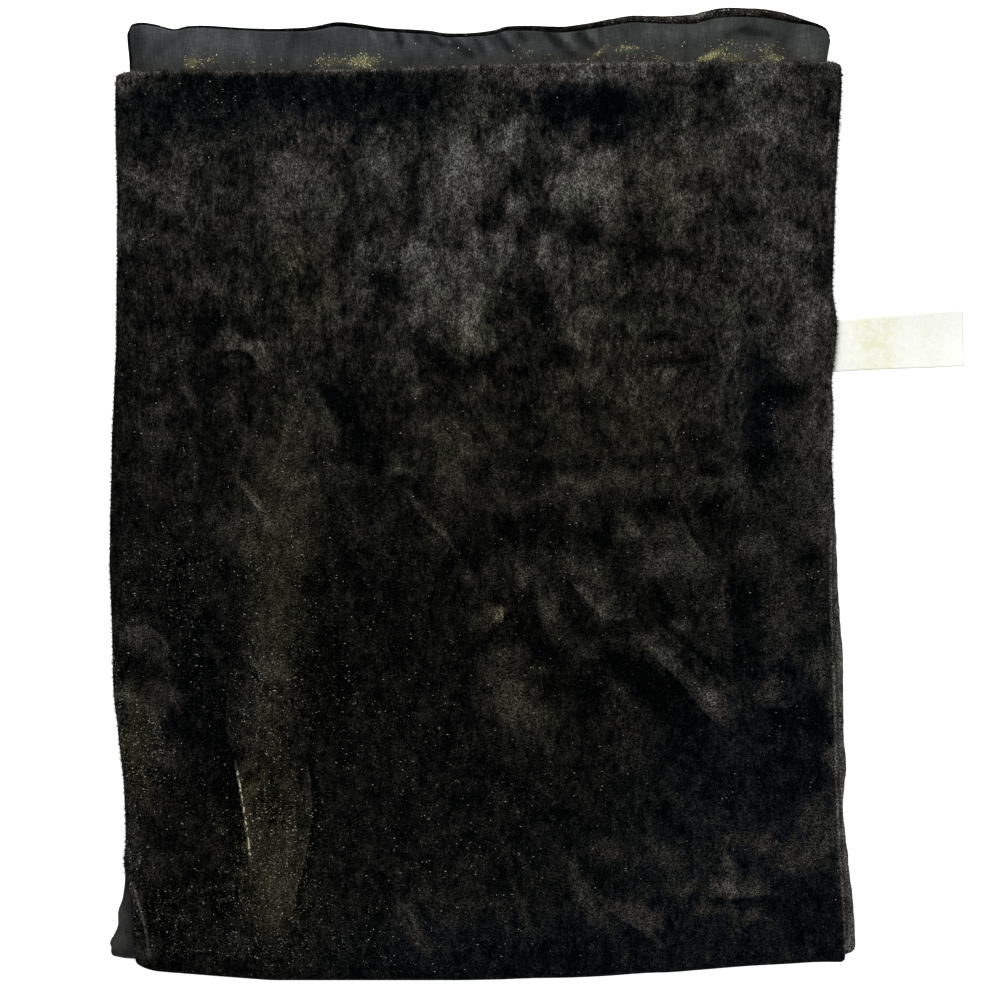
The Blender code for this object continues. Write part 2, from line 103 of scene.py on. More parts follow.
class Socket:
    # Wraps one shader socket, so that sums and products on it add the nodes for them.
    def __init__(self, tree, source=None):
        self.tree = tree
        self.source = source

    def add(self, kind, settings=None, sockets=None, output=0):
        made = self.tree.nodes.new("ShaderNode" + kind)
        for name, value in (settings or {}).items():
            if name == "stops":
                elements = made.color_ramp.elements
                while len(elements) < len(value):
                    elements.new(0.5)
                for element, (position, colour) in zip(elements, value):
                    element.position = position
                    element.color = (*colour, 1.0)
            else:
                setattr(made, name, value)
        for name, value in (sockets or {}).items():
            if isinstance(value, Socket):
                self.tree.links.new(value.source, made.inputs[name])
            else:
                made.inputs[name].default_value = value
        return Socket(self.tree, made.outputs[output])

    def maths(self, operation, *values):
        return self.add("Math", {"operation": operation}, dict(enumerate(values)))

    def __add__(self, other):
        return self.maths("ADD", self, other)

    def __sub__(self, other):
        return self.maths("SUBTRACT", self, other)

    def __rsub__(self, other):
        return self.maths("SUBTRACT", other, self)

    def __mul__(self, other):
        return self.maths("MULTIPLY", self, other)

    def __pow__(self, other):
        return self.maths("POWER", self, other)

    def __lt__(self, other):
        return self.maths("LESS_THAN", self, other)

    def __or__(self, other):  # whichever is the larger
        return self.maths("MAXIMUM", self, other)

    __radd__ = __add__
    __rmul__ = __mul__

    def stretched(self, scale):  # a colour or a vector, times a vector
        return self.add("VectorMath", {"operation": "MULTIPLY"}, {0: self, 1: scale})

    def dimmed(self, factor):  # a colour or a vector, times a number
        return self.add("VectorMath", {"operation": "SCALE"}, {0: self, "Scale": factor})

    def blended(self, other, factor):  # this colour, and the other where the factor is 1
        return self.add("Mix", {"data_type": "RGBA"}, {0: factor, 6: self, 7: other}, 2)

    def toned(self, stops):  # the colour that a number stands for
        return self.add("ValToRGB", {"stops": stops}, {"Fac": self})

    def smoothed(self, low, high):  # 0 below low, 1 above high, and a soft step between
        sockets = {"Value": self, "From Min": low, "From Max": high}
        return self.add("MapRange", {"interpolation_type": "SMOOTHSTEP"}, sockets)

    def clouds(self, size, detail=2.0, roughness=0.6, stretch=(1.0, 1.0, 1.0)):
        # Noise with blobs of this size in millimetres; a stretch over 1 makes them longer.
        scale = tuple(1.0 / (size * mm * s) for s in stretch)
        sockets = {"Vector": self.stretched(scale), "Scale": 1.0, "Detail": detail}
        sockets["Roughness"] = roughness
        return self.add("TexNoise", {"noise_dimensions": "3D"}, sockets)

    def flecks(self, size, density, fill, dimness=3.0):
        # Small dashes in the cells of a jittered grid, each with its own brightness from 0 to 1.
        # density is the share of the cells that hold one, and fill its size in the cell; more
        # dimness leaves fewer of them bright.
        sockets = {"Vector": self.stretched(tuple(1.0 / (s * mm) for s in size)), "Scale": 1.0}
        sockets["Randomness"] = 0.7
        cells = self.add("TexVoronoi", {"voronoi_dimensions": "3D"}, sockets)
        draw = Socket(self.tree, cells.source.node.outputs["Color"])
        draw = self.add("SeparateColor", None, {"Color": draw})
        bright = Socket(self.tree, draw.source.node.outputs[1])
        return (draw < density) * (cells < fill) * bright ** dimness

    def attribute(self, name):
        return self.add("Attribute", {"attribute_name": name}, None, 2)

    def bump(self, distance, strength):
        sockets = {"Height": self, "Distance": distance * mm, "Strength": strength}
        return self.add("Bump", None, sockets)


def newFinish(name):
    material = bpy.data.materials.new(name)
    material.use_nodes = True
    start = Socket(material.node_tree)
    return material, start, start.add("TexCoord", None, None, 3)


def setShader(material, sockets):
    shader = material.node_tree.nodes["Principled BSDF"]
    for name, value in sockets.items():
        if isinstance(value, Socket):
            material.node_tree.links.new(value.source, shader.inputs[name])
        else:
            shader.inputs[name].default_value = value
    return material


velvetLook = {
    "lightest": 1.4,  # how light the pile lies at the last of the tones
    "tones": [  # from pile that leans away to pile that is brushed light
        (0.0, (0.0008, 0.001, 0.0011)),
        (0.14, (0.0028, 0.0031, 0.003)),
        (0.285, (0.0065, 0.0066, 0.006)),
        (0.43, (0.0128, 0.0126, 0.0112)),
        (0.57, (0.0205, 0.02, 0.0178)),
        (0.715, (0.031, 0.03, 0.0268)),
        (1.0, (0.066, 0.065, 0.06)),
    ],
    "patches": [  # size, shift of the nap, stretch
        (12.0, 0.5, 1.5), (5.0, 0.95, 1.8), (2.2, 0.82, 2.0),
    ],
    "patchNoise": (2.0, 0.62),  # detail, roughness
    "ruffledMore": (-0.03, 0.09),  # from here to here along the cloth, in metres, as its nap turns
    "ruffle": (0.95, 0.75, 0.7),  # its share, what the turn adds, and the nap where all of it is added
    "grain": [(0.85, 0.36), (0.46, 0.64)],  # size, share
    "grainLie": ((1.3, 1.0, 1.0), (0.85, 2.0, 1.0)),  # its stretch before the turn and after it
    "grainRange": (0.415, 0.625),
    "grainSharpness": 1.5,
    "grainDepth": (0.16, 2.35, 0.14, 0.45),  # the least, the rise, and what the turn adds and takes
    "ledgeRag": (0.9, 1.8),  # the size and the reach of the rags along a sharp crease
    "ledgeReach": (-5.0, 4.5),
    "ledgeBlur": 0.3,
    "ledgeRimGlint": (2.6, (0.36, 0.56), (1.2, 0.5), 0.52),  # a gold glint painted along a crease's lit rim: its gaps' size and range, its rim, its least
    "hues": [(28.0, (0.97, 1.02, 0.96)), (21.0, (1.04, 0.98, 1.03))],  # size, olive and violet tints
    "hueRange": (0.45, 0.65),
    "warmTint": (1.12, 1.02, 0.71),
    "coolTint": (0.78, 0.95, 1.3),
    "coolBelow": (0.6, 0.25),  # only the dark pile is cool
    "goldTint": (1.04, 1.0, 0.8),  # the flecks where the tone is warmest
    "goldFrom": (0.4, 1.0),
    "fleckSizes": [((1.05, 0.36, 0.5), 0.42), ((0.38, 0.6, 0.5), 0.42)],
    "fleckShare": (7.2, 1.9),  # in the clumps and between them
    "fleckGlow": 0.92,  # how bright the brightest painted glint is
    "fleckDimness": 6.0,
    "fleckLeast": 0.004,  # anything dimmer is bare pile
    "fleckClumps": (6.0, (0.4, 0.62)),
    "fleckThreads": (0.8, 14.0, (0.48, 0.62)),  # flecks lie along threads this thick and long
    "betweenThreads": 0.4,
    # the gold threads' colour, with painted glints for the brighter ones
    "fleckTones": [
        (0.0, (0.011, 0.0109, 0.0095)), (0.66, (0.055, 0.054, 0.047)), (1.0, (0.46, 0.45, 0.38)),
    ],
}


def velvetFinish(name):
    # Reads how light the pile lies, which also holds painted highlights and shade on creases, rims and
    # edges, the share of gold that shows, how warm the tone is, and the distance past the nearest sharp
    # crease, with the painted shade and painted highlight on its two sides and the gold glint painted
    # along its lit rim.
    material, start, place = newFinish(name)
    words = ("nap", "glint", "warm", "ledge", "shade", "shine", "thread")
    nap, glint, warm, ledge, shade, shine, thread = (start.attribute(word) for word in words)
    turned = place.add("SeparateXYZ", None, {"Vector": place}, 1).smoothed(*velvetLook["ruffledMore"])
    ruffle = 0.0
    for size, amount, stretch in velvetLook["patches"]:
        patches = place.clouds(size, *velvetLook["patchNoise"], (1.0, stretch, 1.0))
        ruffle = ruffle + (patches - 0.5) * amount
    share, added, fullNap = velvetLook["ruffle"]
    lie = nap + ruffle * (share + turned * nap.smoothed(0.0, fullNap) * added)
    size, reach = velvetLook["ledgeRag"]
    side = ledge + (place.clouds(size) - 0.5) * reach
    lit = side.smoothed(-velvetLook["ledgeBlur"], velvetLook["ledgeBlur"])
    low, high = velvetLook["ledgeReach"]
    # painted highlight on each sharp crease's lit side, painted shade on its dark side
    lie = lie + lit * shine * side.smoothed(high, 0.0) - (1.0 - lit) * shade * side.smoothed(low, 0.0)
    tone = (lie * (1.0 / velvetLook["lightest"])).toned(velvetLook["tones"])
    grain = 0.0
    before, after = velvetLook["grainLie"]
    for size, share in velvetLook["grain"]:
        grains = place.clouds(size, 1.0, 0.6, before)
        grain = grain + (grains + (place.clouds(size, 1.0, 0.6, after) - grains) * turned) * share
    low, high = velvetLook["grainRange"]
    least, rise, added, taken = velvetLook["grainDepth"]
    depth = grain.smoothed(low, high) ** velvetLook["grainSharpness"] * (rise - turned * taken)
    tone = tone.dimmed(depth + least + turned * added)
    for size, tint in velvetLook["hues"]:
        tinted = tone.stretched(tint)
        tone = tone.blended(tinted, place.clouds(size, 2.0).smoothed(*velvetLook["hueRange"]))
    tone = tone.blended(tone.stretched(velvetLook["warmTint"]), warm)
    cool = (0.0 - warm) * lie.smoothed(*velvetLook["coolBelow"])
    tone = tone.blended(tone.stretched(velvetLook["coolTint"]), cool)
    size, (low, high) = velvetLook["fleckClumps"]
    clumped, spread = velvetLook["fleckShare"]
    share = (place.clouds(size, 2.0).smoothed(low, high) * clumped + spread) * glint
    size, length, (low, high) = velvetLook["fleckThreads"]
    weft = place.clouds(size, 1.0, 0.5, (length, 1.0, 1.0))
    threads = weft | place.clouds(size, 1.0, 0.5, (1.0, length, 1.0))
    share = share * (velvetLook["betweenThreads"] + threads.smoothed(low, high))
    (long, fill), (tall, tallFill) = velvetLook["fleckSizes"]
    dimness = velvetLook["fleckDimness"]
    flecks = place.flecks(long, share, fill, dimness) | place.flecks(tall, share, tallFill, dimness)
    flecks = flecks * velvetLook["fleckGlow"]
    size, gaps, rim, least = velvetLook["ledgeRimGlint"]
    broken = place.clouds(size).smoothed(*gaps)
    # a gold glint painted along the lit rim of each sharp crease
    flecks = flecks | (lit * thread * side.smoothed(*rim) * broken * (least + grain))
    sparks = flecks.toned(velvetLook["fleckTones"])
    golden = sparks.stretched(velvetLook["goldTint"])
    sparks = sparks.blended(golden, warm.smoothed(*velvetLook["goldFrom"]))
    tone = tone.blended(sparks, 1.0 - (flecks < velvetLook["fleckLeast"]))
    return setShader(material, {
        "Base Color": tone,
        "Metallic": flecks * 0.5,
        "Roughness": 0.95 - flecks * 0.5,
        "Specular IOR Level": 0.0,
        "Sheen Weight": 0.012,
        "Sheen Roughness": 0.4,
        "Normal": grain.bump(0.4, 0.5),
    })


satinLook = {
    "tones": [
        (0.0, (0.002, 0.0024, 0.0026)),
        (0.25, (0.0072, 0.0084, 0.009)),
        (0.5, (0.0152, 0.0177, 0.0187)),
        (0.75, (0.0242, 0.0282, 0.0298)),
        (1.0, (0.042, 0.0487, 0.0512)),
    ],
    "clouds": (9.0, 0.7, 2.4),  # size, how far it shifts the tone, stretch
    "slubs": (0.55, 0.6, 12.0),
    "threads": (0.45, 0.6, 8.0),
    "warmTint": (1.2, 1.0, 0.72),
    "glow": [(0.0, (0.046, 0.044, 0.02)), (0.7, (0.17, 0.158, 0.07))],  # where gold threads are dense
    "glowGrowth": (1.5, 0.3),  # how sharply it sets in, and its least between the slubs
    "fleckSizes": [((0.6, 0.36, 0.5), 0.44), ((0.36, 0.6, 0.5), 0.44)],
    "fleckLeast": 0.02,
    # the gold threads' colour, with painted glints for the brighter ones
    "fleckTones": [(0.0, (0.035, 0.033, 0.018)), (0.5, (0.15, 0.14, 0.07)), (1.0, (0.82, 0.76, 0.44))],
}


def satinFinish(name):
    # Reads how light the satin lies, with its painted sheen and shade, how warm it is, and the share of
    # gold threads showing.
    material, start, place = newFinish(name)
    lie, warm, glint = (start.attribute(word) for word in ("lie", "warm", "glint"))
    size, amount, stretch = satinLook["clouds"]
    lie = lie + (place.clouds(size, 3.0, 0.55, (1.0, stretch, 1.0)) - 0.5) * amount
    size, amount, stretch = satinLook["slubs"]
    slubs = place.clouds(size, 1.0, 0.5, (1.0, stretch, 1.0))
    lie = lie + (slubs - 0.5) * amount
    size, amount, stretch = satinLook["threads"]
    threads = place.clouds(size, 1.0, 0.5, (stretch, 1.0, 1.0))
    lie = lie + (threads - 0.5) * amount
    tone = lie.toned(satinLook["tones"])
    tone = tone.blended(tone.stretched(satinLook["warmTint"]), warm)
    power, least = satinLook["glowGrowth"]
    dense = (glint ** power) * (least + slubs)
    tone = tone.blended(dense.toned(satinLook["glow"]), dense)
    (long, fill), (tall, tallFill) = satinLook["fleckSizes"]
    flecks = place.flecks(long, glint, fill) | place.flecks(tall, glint, tallFill)
    tone = tone.blended(flecks.toned(satinLook["fleckTones"]), 1.0 - (flecks < satinLook["fleckLeast"]))
    return setShader(material, {
        "Base Color": tone,
        "Metallic": flecks * 0.6,
        "Roughness": 0.5 - flecks * 0.2,
        "Specular IOR Level": 0.08,
        "Sheen Weight": 0.01,
        "Normal": (slubs + threads).bump(0.1, 0.5),
    })


ribbonLook = {
    "tones": [(0.0, (0.655, 0.662, 0.625)), (1.0, (0.575, 0.575, 0.43))],
    "stain": (8.0, (0.38, 0.62)),
    "stainShare": (0.6, 0.4),  # how much is patchy, and how much is even
    "ribs": (0.5, 7.0),
    "warp": (0.42, 5.0),
    "weaveShade": (0.85, 0.3),
}


def ribbonFinish(name):
    material, start, place = newFinish(name)
    size, (low, high) = ribbonLook["stain"]
    patchy, even = ribbonLook["stainShare"]
    aged = place.clouds(size, 3.0, 0.6).smoothed(low, high) * patchy + even
    tone = (start.attribute("aged") * aged).toned(ribbonLook["tones"])
    size, stretch = ribbonLook["ribs"]
    ribs = place.clouds(size, 1.0, 0.5, (stretch, 1.0, 1.0))
    size, stretch = ribbonLook["warp"]
    warp = place.clouds(size, 1.0, 0.5, (1.0, stretch, 1.0))
    weave = ribs * 0.5 + warp * 0.5
    least, rise = ribbonLook["weaveShade"]
    return setShader(material, {
        "Base Color": tone.dimmed(least + weave * rise),
        "Roughness": 0.6,
        "Specular IOR Level": 0.25,
        "Normal": weave.bump(0.12, 0.5),
    })


def makeFloor():
    material, start, place = newFinish("floorPaper")
    paper = place.clouds(60.0).toned(studio["floorShades"])
    setShader(material, {
        "Base Color": paper, "Roughness": 0.9, "Specular IOR Level": 0.1,
        "Emission Color": (1.0, 1.0, 1.0, 1.0), "Emission Strength": studio["floorGlow"],
    })
    body = bmesh.new()
    bmesh.ops.create_grid(body, x_segments=1, y_segments=1, size=studio["floorSize"] / 2 * mm)
    bmesh.ops.translate(body, vec=(0.0, 0.0, -studio["floorDrop"] * mm), verts=body.verts)
    mesh = bpy.data.meshes.new("floor")
    body.to_mesh(mesh)
    body.free()
    mesh.materials.append(material)
    made = bpy.data.objects.new("floor", mesh)
    bpy.context.scene.collection.objects.link(made)


makeFloor()
velvet = velvetFinish("goldShotVelvet")
satin = satinFinish("slateSatin")
ribbon = ribbonFinish("ivoryRibbon")
print("finishes and floor are made")


def curveThrough(points):
    # A smooth curve through (place, value) points, level at each turning point and past its ends.
    places, values = np.array(sorted(points), float).T
    chords = np.diff(values) / np.diff(places)
    slopes = np.concatenate([chords[:1], np.zeros(len(places) - 2), chords[-1:]])
    sameWay = chords[:-1] * chords[1:] > 0
    slopes[1:-1][sameWay] = 2 / (1 / chords[:-1][sameWay] + 1 / chords[1:][sameWay])

    def read(at):
        at = np.clip(at, places[0], places[-1])
        i = np.clip(np.searchsorted(places, at, side="right") - 1, 0, len(places) - 2)
        span = places[i + 1] - places[i]
        rise = values[i + 1] - values[i]
        t = (at - places[i]) / span
        bend = (slopes[i] - rise / span) * (1 - t) - (slopes[i + 1] - rise / span) * t
        return values[i] + rise * t + t * (1 - t) * span * bend

    return read


def outlineOf(layer):
    return {
        "left": curveThrough([(along, left) for along, left, right in layer["sides"]]),
        "right": curveThrough([(along, right) for along, left, right in layer["sides"]]),
        "end": curveThrough(layer["end"]),
        "fold": curveThrough(layer["fold"]),
    }


topLayer = {
    "sides": [  # along, left edge, right edge
        (213, -203.4, 147.6), (209, -204.9, 149.6), (204, -205.9, 149.7), (190, -206.1, 149.0),
        (142, -205.2, 146.2), (110, -205.3, 145.3), (100, -205.4, 145.0), (83, -205.6, 146.7),
        (72, -205.7, 146.1), (65, -205.9, 145.3), (54, -206.4, 144.1), (44, -207.0, 145.0),
        (30, -207.7, 145.2), (20, -207.9, 144.4),
        (-5, -208.4, 145.3), (-35, -208.8, 144.8), (-64, -207.6, 145.4), (-97, -206.8, 146.6),
        (-104, -206.1, 146.8), (-111, -204.9, 147.0), (-122, -204.0, 147.2), (-141, -201.7, 147.6),
        (-157, -200.9, 148.3), (-169, -200.8, 148.9), (-180, -201.6, 149.5), (-190, -200.0, 150.3),
        (-200, -197.5, 150.9), (-222, -196.5, 152.0), (-240, -195.8, 152.4),
    ],
    "end": [  # across, along
        (-206.4, 204.4), (-204, 206.0), (-199, 207.0), (-190, 207.5), (-110, 208.0), (-62, 209.0),
        (-18, 210.8), (62, 211.9), (143, 212.0), (148, 211.3), (150.5, 209.4),
    ],
    "fold": [
        (-197, -229.2), (-192, -232.2), (-186, -233.8), (-174, -234.8), (-150, -236.7),
        (-138, -237.6), (-128, -238.2), (-66, -238.2), (-40, -238.2), (-20, -237.9), (0, -237.2),
        (14, -237.0), (33, -236.2), (56, -234.6), (66, -234.3), (80, -233.2), (105, -231.2), (125, -230.1),
        (138, -229.3), (145, -229.2), (149.5, -229.3), (151.6, -228.8), (152.8, -227.2),
    ],
}
endLayer = {
    "sides": [
        (232, -199.0, 139.8), (226, -200.8, 144.8), (222, -200.6, 144.2), (210, -199.6, 142.4),
        (150, -199.9, 141.0), (90, -200.8, 141.0), (34, -201.4, 142.4), (-15, -202.4, 147.2),
        (-48, -203.4, 148.5), (-62, -203.4, 149.4), (-80, -203.4, 150.8), (-104, -202.4, 151.0),
        (-118, -201.8, 151.2), (-134, -200.9, 152.4), (-153, -200.2, 150.8), (-163, -200.2, 151.5),
        (-172, -200.8, 152.6), (-188, -201.0, 154.3), (-198, -202.1, 155.5), (-206, -204.5, 156.2),
        (-211, -204.4, 156.6), (-216, -206.2, 156.7), (-220.5, -208.5, 157.1), (-223.5, -207.6, 156.6),
        (-226, -208.4, 155.0), (-229, -206.6, 152.6),
    ],
    "end": [
        (-201, 228.4), (-198.6, 230.9), (-194, 231.9), (-187, 231.0), (-177, 228.6),
        (-171, 230.1), (-164, 230.4), (-147, 229.4), (-130, 228.8), (-115, 229.3), (-108, 230.2),
        (-97, 232.2), (-86, 231.1), (-75, 229.4), (-52, 227.9), (-44, 226.7), (-35, 226.6),
        (-21, 228.0), (-14, 230.0), (-5, 230.4), (13, 229.9), (19, 230.5), (28, 231.9), (40, 234.2),
        (49, 235.4), (63, 235.1), (77, 235.8), (82, 237.1), (90, 238.8), (100.8, 239.2),
        (113.5, 238.4), (122, 236.7), (132, 233.5), (139.5, 230.9), (143.6, 228.6), (145.2, 225.0),
    ],
    "fold": [
        (-208, -226.6), (-202, -227.8), (-195, -228.2), (-186, -230.0), (-150, -232.4),
        (-66, -234.4), (0, -232.8), (66, -229.8), (105, -227.4), (140, -225.8), (156, -223.8),
    ],
}
topOutline = outlineOf(topLayer)
endOutline = outlineOf(endLayer)


def softStep(t):
    t = np.clip(t, 0.0, 1.0)
    return t * t * (3 - 2 * t)


def placeIn(outline, across, along, rounds=6):
    # The points at these shares of an outline: across from its left, along from its fold.
    x = outline["left"](0.0) + (outline["right"](0.0) - outline["left"](0.0)) * across
    for _ in range(rounds):
        y = outline["fold"](x) + (outline["end"](x) - outline["fold"](x)) * along
        x = outline["left"](y) + (outline["right"](y) - outline["left"](y)) * across
    return x, y


def evenShares(count, edgeSteps=(0.0003, 0.0009, 0.0019, 0.0035, 0.0062)):
    # Shares from 0 to 1, closer together near both ends.
    inner = edgeSteps[-1] * 1.3
    middle = [share for share in np.linspace(0, 1, count + 1) if inner < share < 1 - inner]
    return np.array([0.0, *edgeSteps, *sorted(middle), *(1 - s for s in reversed(edgeSteps)), 1.0])


def clothNoise(x, y, size, seed=0.0):
    # Smooth noise from -1 to 1 over arrays of points, with bumps of this size.
    flat = zip(np.ravel(x) / size, np.ravel(y) / size)
    values = [noise.noise((u + seed, v - seed, seed * 1.7)) for u, v in flat]
    return np.array(values).reshape(np.shape(x))


def strokeAt(x, y, row):
    # How near points are to a stroke, from 1 on it to 0 away from it; it dies out at its ends.
    x0, y0, x1, y1, width = row[:5]
    run = np.array((x1 - x0, y1 - y0), float)
    length = math.hypot(*run)
    t = ((x - x0) * run[0] + (y - y0) * run[1]) / length ** 2
    aside = np.abs(run[0] * (y - y0) - run[1] * (x - x0)) / length
    past = np.maximum(np.maximum(-t, t - 1), 0.0) * length
    spread = width * (0.75 + 0.25 * np.cos(math.pi * (np.clip(t, 0, 1) - 0.5)))
    return np.exp(-((aside / spread) ** 2) - (past / width) ** 2)


def patchAt(x, y, row):
    # 1 in the middle of a turned oval patch, falling away softly past its rim.
    px, py, halfWidth, halfHeight, turn = row[:5]
    c, s = math.cos(math.radians(turn)), math.sin(math.radians(turn))
    u = ((x - px) * c + (y - py) * s) / (halfWidth * 1.2)
    v = ((y - py) * c - (x - px) * s) / (halfHeight * 1.2)
    return np.exp(-((u * u + v * v) ** 1.4))


def strokeSum(x, y, rows):
    return sum(row[5] * strokeAt(x, y, row) for row in rows)


def patchSum(x, y, rows):
    return sum(row[5] * patchAt(x, y, row) for row in rows)


def wandering(start, x, y, waves):
    # A coordinate moved about by noise: each wave's reach, size and seed.
    for reach, size, seed in waves:
        start = start + reach * clothNoise(x, y, size, seed)
    return start


def linkPiece(name, mesh, finish):
    mesh.materials.append(finish)
    piece = bpy.data.objects.new(name, mesh)
    bpy.context.scene.collection.objects.link(piece)
    mesh.shade_smooth()
    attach(piece, "root")
    return piece


def laySheet(name, points, thickness, finish, edges, attributes):
    # A grid whose points are laid out, rows by columns, and then given its thickness.
    # edges is the share of the thickness at each point, less near a rounded edge, or None.
    rows, columns = points.shape[:2]
    body = bmesh.new()
    bmesh.ops.create_grid(body, x_segments=columns - 1, y_segments=rows - 1, size=0.5)
    layers = {word: body.verts.layers.float.new(word) for word in attributes}
    weights = body.verts.layers.deform.verify()
    for vertex in body.verts:
        column = round((vertex.co.x + 0.5) * (columns - 1))
        row = round((vertex.co.y + 0.5) * (rows - 1))
        vertex.co = points[row, column] * mm
        for word, layer in layers.items():
            vertex[layer] = attributes[word][row, column]
        vertex[weights][0] = 1.0 if edges is None else edges[row, column]
    mesh = bpy.data.meshes.new(name)
    body.to_mesh(mesh)
    body.free()
    piece = linkPiece(name, mesh, finish)
    piece.vertex_groups.new(name="wall")
    wall = piece.modifiers.new("wall", "SOLIDIFY")
    wall.thickness = thickness * mm
    wall.offset = 0.0
    wall.vertex_group = "wall"
    wall.thickness_vertex_group = 0.06
    return piece


def roundedEdge(distance, reach):
    # The share of a wall's thickness at a distance in from its edge.
    t = np.clip(1 - distance / reach, 0.0, 1.0)
    return np.sqrt(np.clip(1 - t * t, 0.0, 1.0))


topVelvet = {
    "wall": 2.2,
    "face": 12.5,
    "tail": 18.0,
    "loft": 0.8,
    "loftFade": 45.0,
    "columns": 158,
    "rows": 200,
    "foldRows": 12,
    "tailRows": 4,
    "edgeReach": 1.7,
    "foldReach": 1.3,  # how far the broad fold bulges past a half circle
    "pileReach": (0.3, 0.9),  # how far the pile stands past the left and right edges
    "flutter": (0.3, 12.0),  # how far the edges wander, and over what length
    "flutterFrom": ((0.9, 0.1), (0.95, 0.05)),  # its start and fade to the sides, and to the end
    "ripples": [(0.24, 19.0, 3.1), (0.13, 7.0, 8.4)],  # height, size, seed
    "reliefFade": (14.0, 0.1),  # how far in from the edges, and the share at the edge
    "droop": (1.5, 0.5, 0.45),  # how much of an overhang is held, its least, the slope
    "span": (353.0, 440.0),  # across and along, for its rounded edges
}
topMiddle = topVelvet["face"] - topVelvet["wall"] / 2
foldRadius = topVelvet["face"] / 2

creases = [  # x0, y0, x1, y1, width, height: ridges, and troughs where the height is negative
    (-116, 70, -128, -20, 14, 0.9),
    (-127, -30, -127, -100, 14, 1.1),
    (-131, -118, -129, -205, 14, 2.8),
    (-155, -95, -148, -180, 8, -0.9),
    (-190, -105, -176, -135, 12, 1.3),
    (-100, 45, -52, -42, 6, -0.7),
    (-66, 5, -22, -58, 6, 1.6),
    (-18, -72, -4, -118, 14, 1.7),
    (-6, -36, 40, -50, 11, 1.6),
    (16, -66, 52, -72, 6, -0.8),
    (52, -74, 98, -112, 7, 2.7),
    (48, -8, 66, -36, 6, 1.0),
    (72, -4, 84, -26, 6, 0.9),
    (100, -32, 126, -18, 7, 1.2),
    (112, -44, 136, -74, 12, 1.0),
    (26, -178, 62, -216, 8, 1.5),
    (84, -190, 120, -192, 9, 1.1),
    (-68, -200, -46, -226, 6, 1.2),
    (-28, 150, -34, 78, 16, 0.6),
    (30, 170, 40, 110, 14, 0.5),
]
fineCreases = [  # the same, over the large ones
    (-146.5, -138, -143.4, -155, 2.2, 0.5), (-143.4, -155, -139.5, -178, 2.2, 0.5),
    (-176, -98, -158, -112, 3, 0.4), (-104, -110, -96, -124, 3, 0.35),
    (31, -72, 58, -71, 3, 0.4), (60, -74, 76, -84, 3, 0.4), (-13, -194, -3, -218, 3, 0.4),
    (41, -8, 52, -28, 3, 0.3), (63, 4, 80, -22, 3, 0.3), (84, -190, 118, -190, 3, 0.3),
    (-115, -110, -101, -121, 3, 0.3), (-105, -150, -78, -184, 3, 0.3),
]


def topEdgeDistance(x, y):
    return np.minimum.reduce([
        x - topOutline["left"](y),
        topOutline["right"](y) - x,
        topOutline["end"](x) - y,
        y - topOutline["fold"](x) - foldRadius,
    ])


labelSeat = {"place": (146.8, 71.8), "lift": 1.7, "reach": (20.0, 17.0), "fade": 14.0}


def labelLift(x, y):
    across = np.abs(x - labelSeat["place"][0]) - labelSeat["reach"][0]
    along = np.abs(y - labelSeat["place"][1]) - labelSeat["reach"][1]
    outside = np.maximum(np.maximum(across, along), 0.0)
    return labelSeat["lift"] * (1 - softStep(outside / labelSeat["fade"]))


def edgeDroop(x, y):
    # How far the top layer's side hangs where it reaches past the layer below it.
    drop = 0.0
    held, least, slope = topVelvet["droop"]
    left = (x - topOutline["left"](y), endOutline["left"](y) - topOutline["left"](y))
    right = (topOutline["right"](y) - x, topOutline["right"](y) - endOutline["right"](y))
    for inwards, reach in (left, right):
        free = np.maximum(reach - held, least)
        drop = drop + slope * (free - least) * (1 - softStep(inwards / free))
    return drop * (1 - labelLift(x, y) / labelSeat["lift"])


def topRelief(x, y):
    distance = topEdgeDistance(x, y)
    inward = softStep(distance / topVelvet["loftFade"])
    banks = strokeSum(x, y, creases)
    banks = np.maximum(banks, -topVelvet["loft"] * inward)
    banks = banks + strokeSum(x, y, fineCreases)
    ripples = wandering(0.0, x, y, topVelvet["ripples"])
    reach, least = topVelvet["reliefFade"]
    height = topVelvet["loft"] * inward + (banks + ripples) * softStep(distance / reach + least)
    lift = np.where(x > 0, labelLift(x, y), 0.0)
    return np.maximum(np.maximum(height, 0.0), lift)


